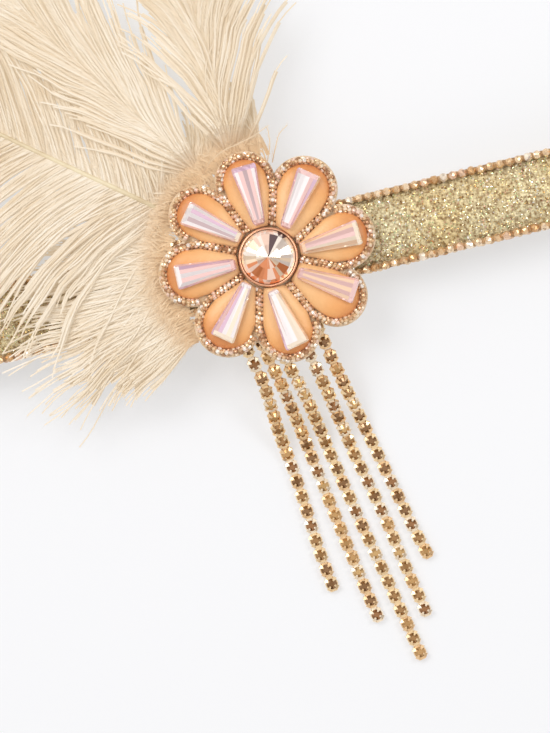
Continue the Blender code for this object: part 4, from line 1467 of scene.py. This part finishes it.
def barb_path(feather, side, distance):
    """Return the points of one barb, drawn towards the middle of its lock."""
    pitch = feather["pitch"]
    lock = math.floor((distance - feather["first_lock"]) / pitch)
    lock_chance = random.Random(lock * 31 + (7 if side == "left" else 19))
    middle = feather["first_lock"] + (lock + lock_chance.uniform(0.3, 0.7)) * pitch
    lock_curl = lock_chance.uniform(-LOCK_CURL, LOCK_CURL)
    lock_rise = lock_chance.uniform(*LOCK_RISE)
    own_curl = lock_curl + chance.uniform(-OWN_CURL, OWN_CURL)
    near_root = 1.0 - smoothstep(0.0, 28.0, distance)
    own_angle = chance.gauss(0.0, feather["angle_change"] + 9.0 * near_root)
    own_length = chance.uniform(*OWN_LENGTH)
    far_along = smoothstep(0.45, 1.0, distance / feather["length"])
    own_length *= mix(1.0, feather["end_share"], far_along)
    own_length *= mix(COLLAR_SHARE, 1.0, smoothstep(-16.0, -4.0, distance))
    own_rise = chance.uniform(*OWN_RISE)
    stray = chance.uniform(-1.0, 1.0)
    gather = feather["clump"] * chance.uniform(0.4, 1.2)
    barb_length = feather[side + "_length"] * lock_profile(distance / feather["length"])
    tuck = chance.uniform(feather["tuck_least"], feather["tuck_most"]) / barb_length
    tuck /= own_length
    points = []
    for i in range(BARB_STEPS + 1):
        t = mix(-tuck, 1.0, i / BARB_STEPS)
        own = barb_plan(feather, side, distance, t * own_length, own_curl, own_angle)
        shared = barb_plan(feather, side, middle, t * own_length, lock_curl, 0.0)
        spot = mix(own, shared, gather * smoothstep(0.1, 1.0, t))
        broad = Vector((spot.x * BROAD_PACE, spot.y * BROAD_PACE,
                        5.3 * feather["layer"] + 0.15 * stray))
        fine = Vector((spot.x * FINE_PACE, spot.y * FINE_PACE, 9.1 + 0.4 * stray))
        flow = noise.noise_vector(broad) * feather["sway"]
        flow += noise.noise_vector(fine) * FINE_SWAY
        spot += Vector((flow.x, flow.y, 0.0)) * max(t, 0.0)
        lift = plume_height(spot, feather["layer"])
        lift += (lock_rise + own_rise + 1.2 * flow.z / feather["sway"]) * math.sin(math.pi * t)
        ceiling = UNDER_FELT_Z + 1.6 * max(spot.to_2d().length - FELT_REACH, 0.0)
        lift = min(max(lift, SURFACE_Z + LOWEST_BARB), ceiling)
        points.append(Vector((spot.x, spot.y, lift)))
    return points


def quill_piece(name, feather):
    """Model the tapered quill as a closed eight-sided tube."""
    verts = []
    steps = 40
    for i in range(steps + 1):
        t = i / steps
        centre, bearing = quill_point(feather, feather["length"] * t)
        z = plume_height(centre, feather["layer"]) - QUILL_SINK * (feather["layer"] - 1)
        radius = mix(feather["width"] / 2, 0.22, t ** 0.8)
        side = polar(1.0, bearing + 90.0)
        for j in range(8):
            a = 2 * math.pi * j / 8
            verts.append(Vector((centre.x, centre.y, z)) + side * radius * math.cos(a)
                         + Vector((0.0, 0.0, 0.7 * radius * math.sin(a))))
    return mesh_piece(name, verts, rings_to_faces(steps + 1, 8), [quill_finish])


barbule = barbule_template("barbule", 3.2, 0.2, feather_cream)
for name, row in FEATHERS.items():
    feather = dict(zip(FEATHER_COLUMNS, row))
    sides = [side for side in ("left", "right") if feather[side + "_length"] > 0.0]
    for side in sides:
        barbs = []
        distance = feather["first_barb"]
        end = feather["last_lock"] + (feather["pitch"] if feather["layer"] else 0.0)
        while distance < end:
            barbs.append(barb_path(feather, side, distance))
            distance += feather["barb_step"] * chance.uniform(0.6, 1.4)
        under = [[Vector((p.x, p.y, max(p.z - UNDER_DROP, SURFACE_Z + LOWEST_UNDER)))
                  for p in barb[:UNDER_STEPS]] for barb in barbs[::1 if feather["layer"] else 2]]
        web = grow(f"{name}_{side}_under_down", barb_curves("under", under, 0.05), barb_tree, {
            "Barb Width": 0.7 * MM, "Flatness": 0.25, "Barbule Spacing": 1.0,
            "Seed": 70 + feather["layer"], "Barbule": barbule, "Finish": feather_cream})
        settle(web, "cream_feather")
        vane = grow(f"{name}_{side}_vane", barb_curves("barbs", barbs), barb_tree, {
            "Barb Width": 0.24 * MM, "Flatness": 0.4, "Barbule Spacing": 0.95 * MM,
            "Seed": 90 + feather["layer"], "Barbule": barbule, "Finish": feather_cream})
        settle(vane, "cream_feather")
        if side == sides[0]:
            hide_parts(name)
        print(name, side, "barbs", len(barbs), "faces", len(vane.data.polygons))
    if feather["layer"]:
        quill = quill_piece(name + "_quill", feather)
        settle(quill, "cream_feather")

# %% [markdown]
# ## Stray barbs
# A few barbs have slipped forward over the flower. Each follows a route of its own.

# %% Stray barbs that lie over the petals' edges
STRAY_BARBS = (
    ((-11.5, 25.5, 3.8), (-9.2, 28.0, 7.6), (-5.0, 30.2, 8.5), (0.0, 31.2, 8.4),
     (4.5, 32.4, 8.0), (9.0, 34.2, 7.0)),
    ((7.0, 24.2, 4.5), (8.6, 27.5, 7.5), (10.5, 31.0, 6.5), (13.4, 33.0, 4.0)),
    ((5.4, 24.0, 4.5), (7.4, 28.6, 6.5), (8.0, 33.6, 4.0)),
)
strays = [smooth_route([Vector(p) for p in route], 1.0) for route in STRAY_BARBS]
stray_vane = grow("stray_barbs", barb_curves("strays", strays), barb_tree, {
    "Barb Width": 0.16 * MM, "Barbule Spacing": 0.6 * MM, "Seed": 3, "Barbule": barbule,
    "Finish": feather_cream})
settle(stray_vane, "cream_feather")
put_away(barbule)
print("stray barbs:", len(strays))
